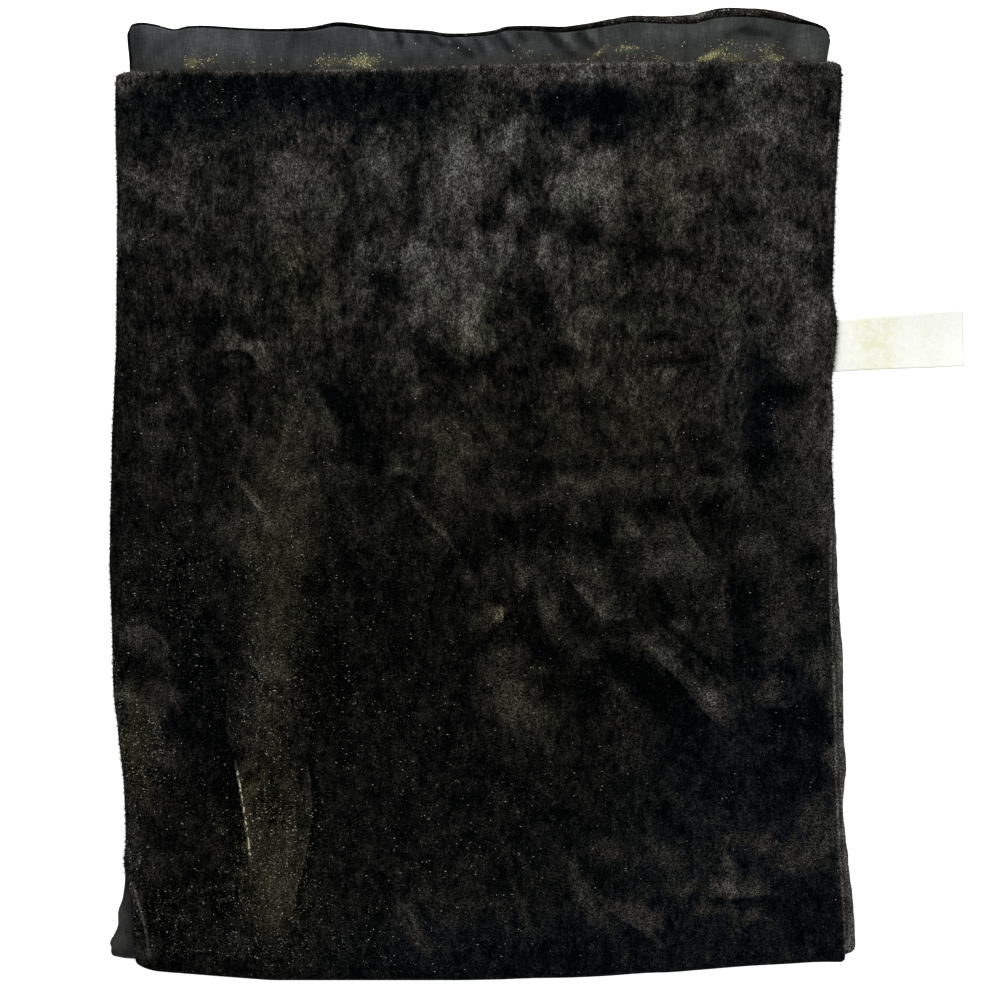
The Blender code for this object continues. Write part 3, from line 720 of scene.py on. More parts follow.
brushed = [  # x, y, half width, half height, turn in degrees, how much lighter the pile lies there
    # the sewn end's band
    (-200, 204, 8, 5, 0, 0.35), (-140, 197, 46, 9, 0, -0.16), (-78, 194, 18, 10, 0, -0.12),
    (-50, 197, 12, 8, 0, -0.06), (-6, 206, 10, 5, 0, 0.42), (16, 206, 11, 4, 0, 0.45),
    (26, 203, 5, 6, 0, 0.4), (22, 190, 13, 8, 0, -0.34), (42, 206, 12, 5, 0, 0.4),
    (38, 192, 9, 8, 0, -0.3), (36, 176, 8, 5, 0, -0.26), (60, 190, 7, 9, 0, -0.16),
    (73, 190, 4, 14, 0, 0.2), (86, 205, 8, 4, 0, -0.18), (94, 187, 3, 5, 0, -0.22),
    (108, 203, 9, 7, 0, 0.28), (125, 203, 24, 9, 0, 0.08),
    # the left, from its end down
    (-114, 180, 14, 6, -20, 0.16), (-97, 175, 5, 8, 0, 0.3), (-120, 159, 15, 9, 0, 0.42),
    (-118, 146, 16, 7, 0, 0.26), (-194, 157, 7, 4, -20, 0.34), (-184, 147, 9, 5, 0, 0.22),
    (-171, 152, 9, 17, 0, 0.18), (-140, 154, 8, 9, 0, -0.1), (-115, 121, 15, 22, 0, 0.2),
    (-133, 112, 9, 5, -30, -0.2), (-95, 128, 5, 11, 0, -0.14), (-165, 106, 18, 6, 0, 0.12),
    (-141, 93, 6, 9, 0, 0.2), (-101, 95, 5, 8, 0, 0.28), (-110, 82, 11, 10, 0, 0.22),
    (-150, 77, 4, 4, -30, 0.36), (-141, 73, 9, 2.5, 0, 0.55), (-133, 66, 4, 5, 0, 0.42),
    (-183, 66, 8, 9, 0, 0.15), (-171, 50, 2, 7, 30, 0.3), (-150, 46, 7, 4, 40, 0.2),
    (-160, 56, 9, 6, 0, -0.12), (-93, 46, 5, 12, 0, -0.2), (-113, 37, 11, 18, 0, 0.32),
    (-184, 41, 8, 3, 15, 0.25), (-183, 28, 11, 5, 0, 0.2), (-138, 25, 8, 6, -30, 0.26),
    (-122, 16, 15, 12, 0, 0.26), (-96, 12, 6, 2, -10, 0.25), (-197, 5, 6, 5, 0, 0.14),
    (-162, 6, 9, 5, 0, -0.12), (-118, -3, 14, 13, 0, 0.26), (-147, -16, 9, 9, 30, 0.24),
    (-143, -28, 3, 2, 0, 0.3), (-125, -24, 13, 13, 0, 0.3), (-128, -62, 12, 20, 0, 0.32),
    (-127, -42, 5, 4, 0, 0.15), (-128, -87, 10, 8, 0, 0.3), (-130, -108, 14, 13, 0, 0.26),
    (-191, -70, 13, 8, -15, 0.28), (-203, -98, 5, 3, 0, 0.36), (-188, -102, 14, 8, 0, 0.28),
    (-162, -80, 7, 22, 15, -0.18), (-161, -104, 8, 14, 0, -0.2), (-197, -122, 6, 9, 0, 0.34),
    (-174, -60, 4, 18, 0, -0.12), (-100, -95, 12, 20, 0, -0.1),
    # the middle, from the sewn end down
    (-77, 178, 6, 6, 0, 0.18), (-76, 163, 12, 8, 0, 0.38), (-70, 150, 6, 7, 0, 0.16),
    (-60, 150, 5, 20, 0, -0.18), (-36, 175, 9, 18, 0, 0.36), (-25, 191, 7, 12, 0, 0.24),
    (-12, 175, 8, 9, 20, 0.5), (-4, 186, 7, 5, 0, 0.26), (9, 190, 5, 9, 30, -0.12),
    (26, 182, 5, 3, 0, 0.4), (12, 170, 10, 6, 0, 0.28), (25, 159, 11, 10, 0, 0.48),
    (17, 146, 12, 6, 0, 0.42), (-12, 155, 7, 5, 0, -0.22), (-2, 160, 4, 15, 10, -0.2),
    (-40, 150, 13, 15, 0, 0.4), (-10, 141, 4, 5, 0, 0.5), (-19, 139, 4, 7, 0, -0.2),
    (8, 136, 6, 5, 0, -0.2), (15, 137, 3, 5, 0, 0.25), (26, 127, 8, 6, 0, -0.34),
    (-57, 112, 9, 10, 0, 0.36), (-30, 125, 4, 7, 0, 0.42), (-15, 122, 5, 8, 0, 0.42),
    (4, 121, 3.5, 6, 0, 0.45), (-35, 108, 14, 11, 0, 0.26), (-70, 104, 7, 14, 0, -0.24),
    (-12, 105, 10, 4, 0, -0.1), (-87, 97, 5, 7, 0, 0.3), (-60, 88, 5, 4, 0, 0.45),
    (-46, 92, 9, 9, 0, 0.3), (-31, 91, 5, 9, 0, 0.62), (-29, 77, 9, 6, 0, 0.36),
    (3, 91, 5, 10, 0, -0.2), (20, 84, 9, 11, 0, 0.34), (-82, 74, 6, 9, 0, -0.14),
    (-67, 66, 8, 6, 0, 0.2), (-55, 76, 3, 4, 0, -0.2), (-44, 65, 8, 7, 0, -0.22),
    (-27, 64, 7, 3, 0, -0.26), (0, 63, 10, 8, 0, -0.12), (14, 68, 6, 6, 0, -0.2),
    (13, 57, 5, 4, 0, 0.3), (26, 60, 6, 5, 0, 0.38), (-58, 50, 3, 6, 0, 0.34),
    (-45, 55, 6, 6, 0, -0.1), (-25, 53, 3, 4, 0, 0.25), (28, 45, 6, 6, 0, -0.2),
    (-43, 30, 14, 10, 0, 0.2), (-20, 37, 7, 5, 0, 0.12), (-4, 37, 6, 9, 0, -0.16),
    (18, 33, 7, 8, 0, 0.24), (-69, 13, 4, 2.5, 0, 0.22), (-40, 8, 8, 15, 0, 0.24),
    (-30, 10, 3, 8, 0, -0.12), (-13, 7, 7, 3, 0, 0.2), (0, 14, 14, 5, 0, -0.12),
    (14, 6, 5, 3, 0, 0.34), (26, 4, 5, 5, 0, 0.32), (-8, -3, 14, 4, 0, 0.16),
    (20, -9, 4, 5, 0, 0.24), (-85, 30, 14, 22, 20, -0.12), (-47, -18, 7, 8, -50, 0.32),
    (-82, -12, 12, 8, 0, 0.1), (-10, -18, 20, 6, 0, -0.12), (-24, -45, 9, 5, -30, 0.16),
    (-18, -59, 2.5, 3, 0, 0.75), (-25, -62, 6, 4, 30, 0.28), (-6, -38, 4, 4, 0, 0.32),
    (3, -44, 9, 5, -30, 0.2), (7, -54, 3.5, 6, 20, 0.45), (25, -40, 7, 7, 0, 0.32),
    (15, -34, 6, 4, 0, 0.16), (2, -70, 8, 9, 0, -0.26), (25, -76, 6, 5, 0, 0.24),
    (-15, -80, 8, 6, 0, 0.16), (-12, -95, 11, 15, 0, 0.32), (-2, -110, 12, 11, -20, 0.32),
    (26, -95, 6, 9, 0, -0.14), (-85, -112, 10, 8, 0, 0.08), (-47, -100, 8, 6, 0, 0.08),
    # the right, from the sewn end down
    (112, 184, 12, 9, 0, 0.32), (119, 177, 5, 5, 0, 0.2), (105, 173, 6, 4, 0, -0.2),
    (132, 175, 12, 8, 0, 0.14), (52, 167, 8, 4, 0, 0.12), (36, 161, 6, 8, 0, 0.36),
    (37, 146, 6, 11, 0, 0.5), (78, 166, 13, 9, 0, 0.14), (82, 155, 4, 5, 0, -0.24),
    (130, 154, 10, 8, 0, -0.12), (66, 148, 5, 8, 0, 0.22), (78, 143, 6, 6, 0, 0.12),
    (100, 138, 12, 7, 0, -0.24), (125, 143, 14, 5, 0, 0.2), (50, 133, 8, 8, 0, -0.16),
    (133, 133, 6, 3, 0, -0.24), (124, 126, 6, 5, -40, 0.42), (131, 121, 4, 3, 0, 0.28),
    (68, 117, 15, 5, 0, -0.24), (143, 113, 4, 10, 0, -0.26), (46, 110, 9, 12, 0, -0.1),
    (66, 104, 12, 5, 0, 0.1), (113, 108, 15, 9, 0, 0.16), (136, 90, 6, 9, 0, 0.34),
    (128, 74, 10, 12, -40, 0.3), (50, 82, 4, 5, 0, 0.24), (62, 76, 9, 2, 0, -0.26),
    (74, 67, 5, 4, 0, -0.26), (66, 57, 5, 4, 0, 0.24), (94, 80, 5, 14, 0, 0.14),
    (108, 47, 9, 30, 0, -0.3), (113, 68, 8, 5, 0, -0.2), (125, 50, 9, 7, 0, -0.22),
    (138, 30, 7, 14, 0, 0.12), (113, 18, 9, 7, 0, -0.24), (66, 38, 5, 6, 0, 0.2),
    (60, 27, 4, 5, 0, -0.18), (80, 26, 7, 4, 0, -0.2), (86, 14, 6, 3, 0, -0.26),
    (54, 17, 9, 3, 0, -0.14), (40, 7, 8, 4, 0, 0.22), (90, 5, 8, 5, 0, 0.12),
    (108, 8, 5, 5, 0, -0.16), (134, 3, 10, 9, 0, 0.2), (58, -6, 10, 5, 0, -0.26),
    (86, -7, 8, 8, 0, -0.3), (37, -22, 5, 10, 0, -0.24), (64, -28, 11, 12, 0, 0.3),
    (80, -33, 7, 8, 0, 0.22), (98, -14, 6, 4, 0, -0.14), (108, -24, 9, 4, 20, 0.28),
    (124, -38, 5, 10, 0, 0.2), (133, -32, 6, 6, 0, -0.24), (137, -14, 8, 8, 0, 0.18),
    (35, -56, 4, 4, 0, 0.42), (70, -66, 5, 5, 0, 0.22), (90, -62, 7, 10, 0, 0.22),
    (98, -56, 4, 17, 0, -0.2), (104, -82, 8, 6, 0, -0.2), (120, -62, 8, 16, 0, 0.2),
    (137, -82, 7, 8, 0, 0.16), (124, -88, 7, 4, 0, -0.16), (115, -98, 5, 6, 0, 0.3),
    (124, -113, 20, 10, 0, -0.2), (66, -102, 12, 9, -40, -0.22), (46, -86, 13, 6, -30, -0.24),
    (76, -120, 12, 8, 0, -0.14), (100, -115, 9, 4, 0, 0.12), (130, -70, 5, 6, 0, -0.14),
    # toward the broad fold
    (-131, -150, 5, 9, 0, -0.22), (-133, -163, 8, 7, 0, 0.2), (-127, -195, 9, 15, 0, 0.28),
    (-121, -150, 7, 18, 0, 0.14), (-140, -135, 6, 6, 0, 0.2), (-183, -208, 8, 12, 0, -0.14),
    (-151, -192, 6, 9, 0, -0.16), (-190, -223, 7, 4, 0, 0.2), (-38, -205, 8, 7, 0, 0.2),
    (-54, -198, 10, 7, 0, 0.14), (-33, -180, 6, 3, 0, 0.16), (50, -203, 12, 7, -20, 0.32),
    (38, -196, 7, 6, 0, 0.14), (60, -176, 16, 9, 0, 0.1), (73, -193, 5, 5, 0, 0.2),
    (94, -193, 8, 4, 0, 0.5), (94, -184, 3, 5, 0, 0.35), (107, -192, 5, 5, 0, 0.32),
    (112, -172, 6, 5, 0, 0.28), (100, -169, 6, 4, 0, 0.16), (106, -205, 3, 3, 0, 0.3),
    (86, -205, 7, 4, 0, 0.14), (139, -163, 9, 16, 0, 0.2), (128, -176, 7, 7, 0, 0.14),
    (130, -206, 18, 14, 0, -0.14), (110, -140, 30, 9, 0, -0.12), (46, -130, 10, 8, 0, 0.1),
    (-122, -20, 22, 60, 0, -0.12), (105, -170, 60, 70, 0, 0.1), (-131, -175, 9, 32, 8, 0.12),
    # smaller ones over all of these, from the sewn end down
    (-121, 151, 10, 7, 0, -0.26), (-112, 184, 6, 5, 0, -0.1), (-94, 166, 6, 7, 0, -0.16),
    (-197, 142, 8, 6, 0, -0.12), (-105, 135, 7, 7, 0, -0.1), (-110, 107, 8, 5, 0, -0.12),
    (-45, 194, 8, 7, 0, -0.12), (-68, 159, 4, 5, 0, -0.16), (-45, 155, 4, 4, 0, -0.1),
    (-75, 117, 12, 8, 0, 0.24), (-60, 100, 4, 4, 0, 0.16), (-203, 132, 4, 12, 0, 0.18),
    (-195, 125, 6, 5, 0, 0.12), (-60, 170, 4, 8, 0, 0.16), (-22, 163, 6, 12, 0, 0.14),
    (-205, 200, 5, 6, 0, 0.08), (-205, 160, 4, 10, 0, 0.1), (-180, 196, 12, 6, 0, 0.06),
    (12, 112, 8, 14, 0, 0.22), (-15, 164, 13, 9, 0, 0.12), (50, 160, 5, 6, 0, 0.16),
    (112, 176, 5, 5, 0, 0.18), (28, 135, 4, 4, 0, 0.12), (35, 102, 10, 6, 0, 0.12),
    (144, 121, 4, 8, 0, 0.14), (144, 160, 3, 6, 0, 0.12), (0, 150, 7, 8, 0, 0.12),
    (120, 206, 6, 5, 0, 0.12), (130, 200, 8, 6, 0, 0.08), (-20, 182, 8, 4, 0, -0.16),
    (23, 170, 4, 4, 0, -0.2), (22, 144, 8, 6, 0, -0.24), (40, 156, 4, 11, 0, -0.2),
    (120, 175, 3, 6, 0, -0.2), (98, 111, 6, 6, 0, -0.16), (116, 196, 4, 3, 0, -0.16),
    (24, 94, 5, 6, 0, -0.16), (-3, 208, 3, 5, 0, -0.16), (96, 132, 5, 5, 0, -0.1),
    (104, 100, 6, 4, 0, -0.1), (12, 175, 5, 5, 0, -0.12),
    (-155, 80, 10, 7, 0, -0.2), (-140, 83, 7, 9, 0, -0.16), (-107, 50, 6, 6, 0, -0.16),
    (-99, 43, 4, 8, 0, -0.12), (-110, 17, 10, 6, 0, -0.2), (-80, -8, 10, 6, 0, -0.1),
    (-52, -18, 7, 6, 0, -0.1), (-38, -38, 8, 5, -50, -0.12), (-22, 58, 4, 6, 0, -0.2),
    (-75, 48, 4, 4, 0, -0.1), (-185, 80, 6, 5, 0, 0.12), (-170, 50, 6, 5, 0, 0.1),
    (-190, 40, 14, 10, 0, 0.08), (-175, 5, 14, 8, 0, 0.14), (-160, -15, 11, 6, 0, 0.14),
    (-115, -32, 7, 7, 0, 0.12), (-143, -29, 8, 5, 0, 0.1), (-200, -30, 5, 8, 0, 0.1),
    (-60, 85, 8, 6, 0, 0.12), (-38, 67, 5, 4, 0, 0.2), (-65, 15, 6, 5, 0, 0.12),
    (-160, -52, 7, 5, 0, 0.1), (-22, 25, 6, 6, 0, 0.12),
    (32, 75, 9, 4, 0, 0.2), (10, 50, 4, 7, 0, 0.16), (14, 10, 6, 12, 0, 0.16),
    (50, 44, 8, 8, 0, 0.14), (46, 26, 12, 7, 0, 0.12), (100, 60, 7, 22, 0, 0.22),
    (110, 73, 5, 9, 0, 0.18), (140, 55, 6, 9, 0, 0.2), (148, 70, 3, 12, 0, 0.26),
    (130, 31, 8, 7, 0, 0.16), (98, 32, 5, 7, 0, 0.1), (75, 5, 28, 5, 0, 0.1),
    (105, 8, 8, 5, 0, 0.1), (58, -38, 6, 5, 0, 0.16), (40, -18, 4, 10, 0, 0.12),
    (143, -30, 5, 12, 0, 0.2), (12, 85, 4, 8, 0, -0.16), (90, 88, 6, 6, 0, -0.16),
    (55, 85, 8, 5, 0, -0.1), (70, 65, 12, 5, 0, -0.1), (133, 0, 10, 7, 0, -0.16),
    (58, -22, 5, 6, 0, -0.2), (69, -25, 5, 5, 0, -0.2), (22, -45, 4, 6, 0, -0.2),
    (15, -25, 8, 6, 0, -0.12), (116, -18, 5, 5, 0, -0.16), (98, -28, 5, 5, 0, -0.12),
    (-8, -2, 6, 3, 0, -0.12), (5, -45, 4, 5, 0, -0.12), (108, -50, 6, 6, 0, -0.1),
    (-198, -70, 7, 8, 0, 0.14), (-196, -110, 8, 12, 0, 0.14), (-192, -150, 9, 12, 0, 0.18),
    (-196, -172, 6, 8, 0, 0.2), (-186, -183, 6, 6, 0, 0.2), (-203, -195, 4, 10, 0, 0.2),
    (-182, -128, 8, 8, 0, 0.14), (-160, -155, 8, 8, 0, 0.12), (-138, -147, 5, 4, 0, 0.28),
    (-137, -217, 8, 5, 0, 0.1), (-192, -228, 6, 3, 0, 0.16), (-66, -37, 30, 30, 0, -0.06),
    (-125, -102, 4, 5, 0, -0.2), (-112, -112, 8, 5, -45, -0.12), (-150, -140, 4, 10, 0, -0.12),
    (-127, -158, 4, 4, 0, -0.2), (-135, -170, 8, 3, 0, -0.16), (-136, -197, 6, 7, 0, -0.14),
    (-53, -97, 7, 6, 0, -0.12), (45, -62, 5, 4, 0, 0.16), (68, -66, 5, 5, 0, 0.12),
    (130, -70, 8, 8, 0, 0.14), (143, -95, 6, 8, 0, 0.2), (148, -130, 4, 6, 0, 0.3),
    (105, -110, 10, 6, -30, 0.12), (95, -95, 4, 4, 0, 0.1), (42, -100, 8, 8, 0, 0.12),
    (125, -118, 10, 4, -15, 0.1), (32, -172, 5, 5, 0, 0.16), (58, -175, 5, 4, 0, 0.1),
    (46, -210, 5, 3, 0, 0.16), (125, -183, 6, 5, 0, 0.12), (122, -210, 8, 6, 0, 0.08),
    (-10, -85, 5, 8, 0, -0.12), (5, -98, 6, 6, 0, -0.12), (-3, -118, 4, 7, 0, -0.16),
    (-25, -155, 8, 6, 0, -0.08), (28, -130, 6, 5, 0, -0.1), (65, -160, 10, 8, -40, -0.1),
    (40, -195, 8, 5, -20, -0.2), (56, -199, 5, 4, 0, -0.14), (95, -198, 10, 3, 0, -0.16),
    (85, -150, 8, 6, 0, -0.08), (74, -83, 5, 4, -40, -0.14), (-163, -107, 4, 26, 30, -0.12),
    (-24, 175, 7, 9, 0, -0.26), (-15, 142, 5, 4, 0, -0.14), (38, 162, 5, 4, 0, -0.14),
    (3, 125, 4, 6, 0, -0.16), (8, 95, 5, 4, 0, -0.1), (130, 167, 12, 4, 0, -0.1),
    (-10, 205, 6, 8, 0, 0.16), (35, 120, 4, 8, 0, 0.14), (20, 108, 6, 4, 0, 0.1),
    (95, 163, 6, 5, 0, 0.14), (80, 208, 16, 3, 0, 0.12), (50, 206, 6, 4, 0, 0.1),
    (-115, 130, 8, 8, 0, -0.14), (-115, 97, 18, 5, 0, -0.16), (-90, 122, 5, 5, 0, -0.08),
    (-98, 178, 4, 5, 0, -0.1), (-35, 190, 6, 9, 0, -0.12), (-47, 152, 5, 5, 0, -0.14),
    (-165, 130, 5, 5, 0, -0.1), (-190, 145, 8, 4, 0, -0.08), (-33, 112, 5, 6, 0, 0.16),
    (-45, 108, 5, 5, 0, 0.1), (-52, 172, 5, 5, 0, 0.12), (-150, 163, 6, 4, 0, 0.08),
    (-140, 73, 6, 4, 0, -0.14), (-190, 28, 8, 3, 0, -0.1), (-107, 43, 4, 7, 0, -0.16),
    (-22, 35, 4, 4, 0, -0.12), (-35, 80, 4, 3, 0, -0.1), (-46, 75, 16, 8, 0, 0.08),
    (-85, 86, 5, 5, 0, 0.1), (-140, 0, 18, 8, 0, 0.1), (-138, -28, 6, 5, 0, 0.1),
    (-113, -35, 5, 6, 0, 0.1), (-200, 60, 10, 5, 0, 0.08), (-205, -28, 3, 6, 0, 0.1),
    (145, 26, 4, 30, 0, 0.26), (148, 68, 3, 11, 0, 0.24), (30, 50, 8, 4, 0, 0.16),
    (50, 50, 6, 5, 0, 0.1), (116, 80, 5, 5, 0, 0.14), (43, -20, 4, 9, 0, 0.12),
    (60, -43, 6, 4, 0, 0.1), (68, 50, 5, 5, 0, 0.1), (95, 68, 3, 11, 0, -0.2),
    (105, 84, 7, 3, 0, -0.12), (141, 96, 5, 4, 0, -0.14), (76, 0, 4, 8, 20, -0.12),
    (90, 21, 9, 3, 0, -0.12), (55, -26, 5, 4, 0, -0.16), (84, -22, 8, 5, -30, -0.14),
    (112, -20, 5, 4, 0, -0.1), (122, -50, 6, 4, 0, -0.08), (-18, -49, 5, 5, 0, -0.14),
    (5, -53, 4, 6, 0, -0.12), (50, -51, 4, 10, 10, -0.12), (20, 60, 5, 4, 0, -0.1),
    (-192, -118, 5, 10, 0, -0.16), (-200, -65, 5, 4, 0, -0.1), (-118, -85, 5, 5, 0, -0.12),
    (-128, -116, 6, 5, 0, -0.1), (-130, -157, 6, 5, 0, -0.16), (-115, -187, 4, 7, 0, -0.1),
    (-45, -130, 10, 12, 0, -0.06), (-178, -130, 8, 4, 0, 0.12), (-168, -175, 18, 18, 0, 0.05),
    (-204, -196, 2, 9, 0, 0.16), (-120, -168, 3, 16, 0, 0.1), (-192, -228, 5, 3, 0, 0.12),
    (-105, -218, 5, 5, 0, 0.1), (-130, -91, 5, 4, 0, 0.08), (-48, -228, 5, 4, 0, 0.1),
    (35, -72, 8, 3, 0, -0.1), (70, -78, 3, 10, -45, -0.1), (0, -102, 7, 5, 0, -0.1),
    (50, -148, 8, 6, 0, -0.1), (88, -175, 18, 5, 0, -0.08), (112, -173, 7, 4, 0, -0.08),
    (75, -64, 8, 8, -40, 0.13), (88, -76, 8, 6, -40, 0.1), (112, -87, 5, 7, 0, 0.16),
    (148, -105, 4, 8, 0, 0.16), (45, -105, 8, 8, 0, 0.08), (28, -86, 8, 5, 0, 0.06),
    (25, -197, 5, 5, 0, 0.1), (112, -200, 7, 5, 0, 0.1), (140, -178, 6, 5, 0, 0.1),
    (-25, -205, 7, 7, 0, 0.08), (80, -106, 5, 5, 0, 0.1), (10, -128, 6, 5, 0, 0.08),
    (-92, 178, 4, 6, 0, -0.14), (-42, 183, 4, 8, 0, -0.14), (-66, 170, 4, 4, 0, -0.12),
    (-24, 180, 4, 6, 0, 0.18), (-55, 143, 4, 4, 0, -0.1), (-38, 132, 4, 4, 0, -0.12),
    (-118, 122, 6, 4, 0, -0.12), (-107, 121, 5, 4, 0, -0.1), (-97, 135, 3, 5, 0, 0.12),
    (-52, 128, 6, 3, 0, 0.1), (-75, 113, 3, 7, 0, 0.1), (-33, 110, 4, 6, 0, 0.14),
    (42, 163, 4, 3, 0, -0.12), (14, 157, 4, 4, 0, -0.12), (40, 151, 3, 4, 0, -0.12),
    (-13, 144, 3, 3, 0, -0.12), (22, 203, 9, 3, 0, -0.12), (140, 98, 5, 3, 0, 0.16),
    (115, 170, 4, 4, 0, 0.12), (32, 128, 4, 6, 0, 0.12), (14, 118, 5, 6, 0, 0.1),
    (26, 108, 6, 6, 0, 0.1), (95, 206, 5, 5, 0, 0.14), (70, 207, 5, 5, 0, 0.12),
    (-33, 87, 5, 6, 0, 0.14), (-35, 66, 5, 4, 0, 0.12), (-107, 88, 5, 4, 0, -0.14),
    (-100, 84, 4, 4, 0, -0.1), (-125, 65, 5, 4, 0, 0.12), (-174, 55, 4, 4, 0, -0.1),
    (-95, 45, 4, 12, 0, 0.06), (-70, 12, 6, 8, 0, 0.06), (-198, -53, 4, 3, 0, 0.1),
    (141.5, 77, 3, 6, 0, -0.2), (138, 30, 4, 5, 0, -0.12), (134, 22, 4, 4, 0, 0.12),
    (58, 27, 3, 3, 0, 0.14), (45, -22, 6, 3, 0, 0.12), (61, -23, 4, 3, 0, 0.1),
    (33, -48, 4, 4, 0, 0.14), (55, -29, 5, 4, 0, -0.1), (80, -30, 5, 4, 0, -0.1),
    (80, -63, 6, 5, 0, -0.16), (30, -58, 4, 4, 0, -0.14), (28, -72, 5, 3, 0, -0.12),
    (44, -78, 10, 4, 0, 0.12), (64, -80, 5, 4, 0, 0.14), (94, -97, 5, 5, 0, 0.12),
    (97, -112, 5, 4, 0, -0.18), (140, -85, 3, 10, 0, 0.12), (-122, -156, 6, 8, 0, -0.14),
    (-140, -140, 4, 3, 0, -0.1), (-141, -149, 3, 4, 0, 0.14), (-120, -170, 4, 8, 0, 0.08),
    (-175, -133, 6, 3, 0, 0.1), (-200, -193, 2, 6, 0, 0.12), (-125, -83, 8, 4, 0, -0.1),
    (-117, -103, 3, 7, 0, -0.08), (28, -197, 5, 4, 0, 0.1), (55, -195, 5, 4, 0, -0.1),
    (53, -212, 5, 4, 0, -0.1), (103, -196, 5, 3, 0, -0.08),
]
creaseLightAndShade = [  # x0, y0, x1, y1, width, how much lighter: painted highlights along creases, and painted shade where it is below 0
    (31, -72, 58, -71, 2.6, 0.2), (54, -71.5, 68, -82, 3.4, 0.4),
    (70, -85, 84, -99, 3.4, 0.3), (84, -99, 93, -110, 4.2, 0.46),
    (40, -80, 62, -96, 5.0, -0.26), (54, -38, 70, -62, 2.6, -0.3), (62, -63, 96, -91, 2.4, -0.2),
    (22, -47, 35, -63, 3.6, 0.42), (4, -58, 14, -74, 3.6, 0.26), (44, -11, 54, -25, 3.4, 0.3),
    (-62, 2, -52, -10, 3.2, 0.24), (-45, -22, -33, -39, 2.8, 0.2), (-36, -36, -22, -58, 2.6, 0.08),
    (-66, 8, -42, -18, 3.0, -0.22), (-42, -22, -17, -54, 2.4, -0.2),
    (-146, 7, -130, -15, 2.8, 0.36), (-108, 52, -97, 27, 2.4, 0.26), (70, 4, 81, -16, 2.6, 0.14),
    (32, 43, 38, 29, 2.2, 0.26), (66, 33, 70, 21, 2.0, 0.28), (80, 25, 90, 17, 1.8, 0.14),
    (90, 17, 98, 19, 1.8, 0.08), (-140, -86, -131, -97, 1.8, -0.42), (-185, -79, -179, -86, 1.8, 0.42),
    (-178, -97, -166, -112, 2.4, 0.26), (-178, -103, -170, -114, 1.8, -0.26),
    (-160, -72, -150, -92, 2.4, 0.2), (-151, -126, -146, -182, 3.6, -0.2),
    (-66, -203, -54, -224, 3.0, 0.42), (-20, -200, -12, -215, 2.6, 0.24),
    (-12, -190, -3, -213, 2.6, 0.24), (-14.5, -190, -8, -212, 1.4, -0.22),
    (18, -181, 29, -209, 4.0, 0.3), (-45, -166, -32, -163, 1.8, 0.24), (3, -142, 9, -150, 1.8, 0.16),
    (50, -208, 61, -221, 1.8, 0.24), (-198, -195, -193, -208, 1.4, 0.3),
    (-105, -150, -76, -184, 2.0, 0.1), (-152, -182, -150.5, -184, 1.2, 0.5),
]
ledges = [  # how dark its painted shade is, how light its painted highlight, its painted gold glint, and a route with the light side to its left
    (0.4, 0.2, 0, ((-151, -92), (-151.5, -104), (-152, -114), (-149.4, -124), (-147.4, -130))),
    (0.5, 0.38, 1.0, ((-147.2, -131), (-146.4, -135), (-144.5, -145), (-142, -160), (-140.3, -172),
                      (-139.3, -182))),
    (0.5, 0.3, 0, ((-119, -206), (-117.5, -196), (-114, -184), (-111, -170), (-109.5, -156),
                   (-109.8, -142), (-112, -128))),
    (0.35, 0.2, 0, ((-129, -99), (-136, -91), (-143, -84))),
    (0.25, 0.25, 0, ((-176, -80), (-183, -69), (-190, -64), (-201, -65))),
    (0.3, 0.25, 0, ((-168, -116), (-173, -106), (-180, -96))),
    (0.2, 0.3, 0, ((-65, 3), (-55, -12), (-44, -22), (-37, -34))),
    (0.3, 0.4, 0, ((-15, -65), (-17, -52))),
    (0.2, 0.2, 0, ((15, -41), (26, -53), (33, -61), (42, -62), (50, -59))),
    (0.13, 0.1, 0, ((97, -94), (86, -86), (75, -76), (66, -68), (58, -61), (53, -50))),
    (0.2, 0.22, 0, ((46, -76), (56, -77), (62, -83), (72, -93), (81, -104), (91, -115))),
    (0.35, 0.15, 0, ((86, -34), (76, -20), (69, -4))),
    (0.14, 0.14, 0, ((120, -23), (128, -26), (136, -30), (148, -27))),
    (0.2, 0.14, 0, ((104, -102), (114, -105), (124, -105), (136, -95))),
    (0.12, 0.16, 0, ((80, -197), (98, -198.5), (116, -196))),
    (0.1, 0.18, 0, ((26, -194), (36, -204), (50, -213), (62, -222))),
    (0.25, 0.3, 0, ((-156, 69), (-146, 71), (-139, 68), (-134, 60))),
    (0.2, 0.3, 0, ((-147, 8), (-138, -5), (-130, -14))),
    (0.15, 0.3, 0, ((-66, -199), (-58, -214), (-51, -225))),
    (0.4, 0.1, 0, ((-199.8, -140), (-202.2, -118), (-205.5, -96))),
    (0.0, 0.2, 0.6, ((-198, -190), (-193.4, -206), (-191, -216), (-189.5, -228))),
]
goldPatches = [  # x, y, half width, half height, turn, the share of gold threads that show
    (-130, -100, 14, 24, 0, 0.11), (-129, -180, 15, 34, 4, 0.195), (-194, -125, 8, 16, 0, 0.39),
    (-200, -175, 4, 36, 0, 0.42), (-120, -30, 22, 50, 0, 0.02), (-185, -45, 22, 24, 0, 0.02),
    (-160, -60, 30, 30, 0, 0.012), (-175, -165, 24, 50, 0, 0.015), (-150, -212, 44, 18, 0, 0.05),
    (-158, 194, 20, 10, 0, 0.01), (-190, 10, 16, 110, 0, 0.006), (-80, -150, 34, 80, 0, 0.014),
    (-30, -170, 40, 60, 0, 0.009), (75, 20, 30, 10, 0, 0.02), (0, 0, 260, 280, 0, 0.0042),
]
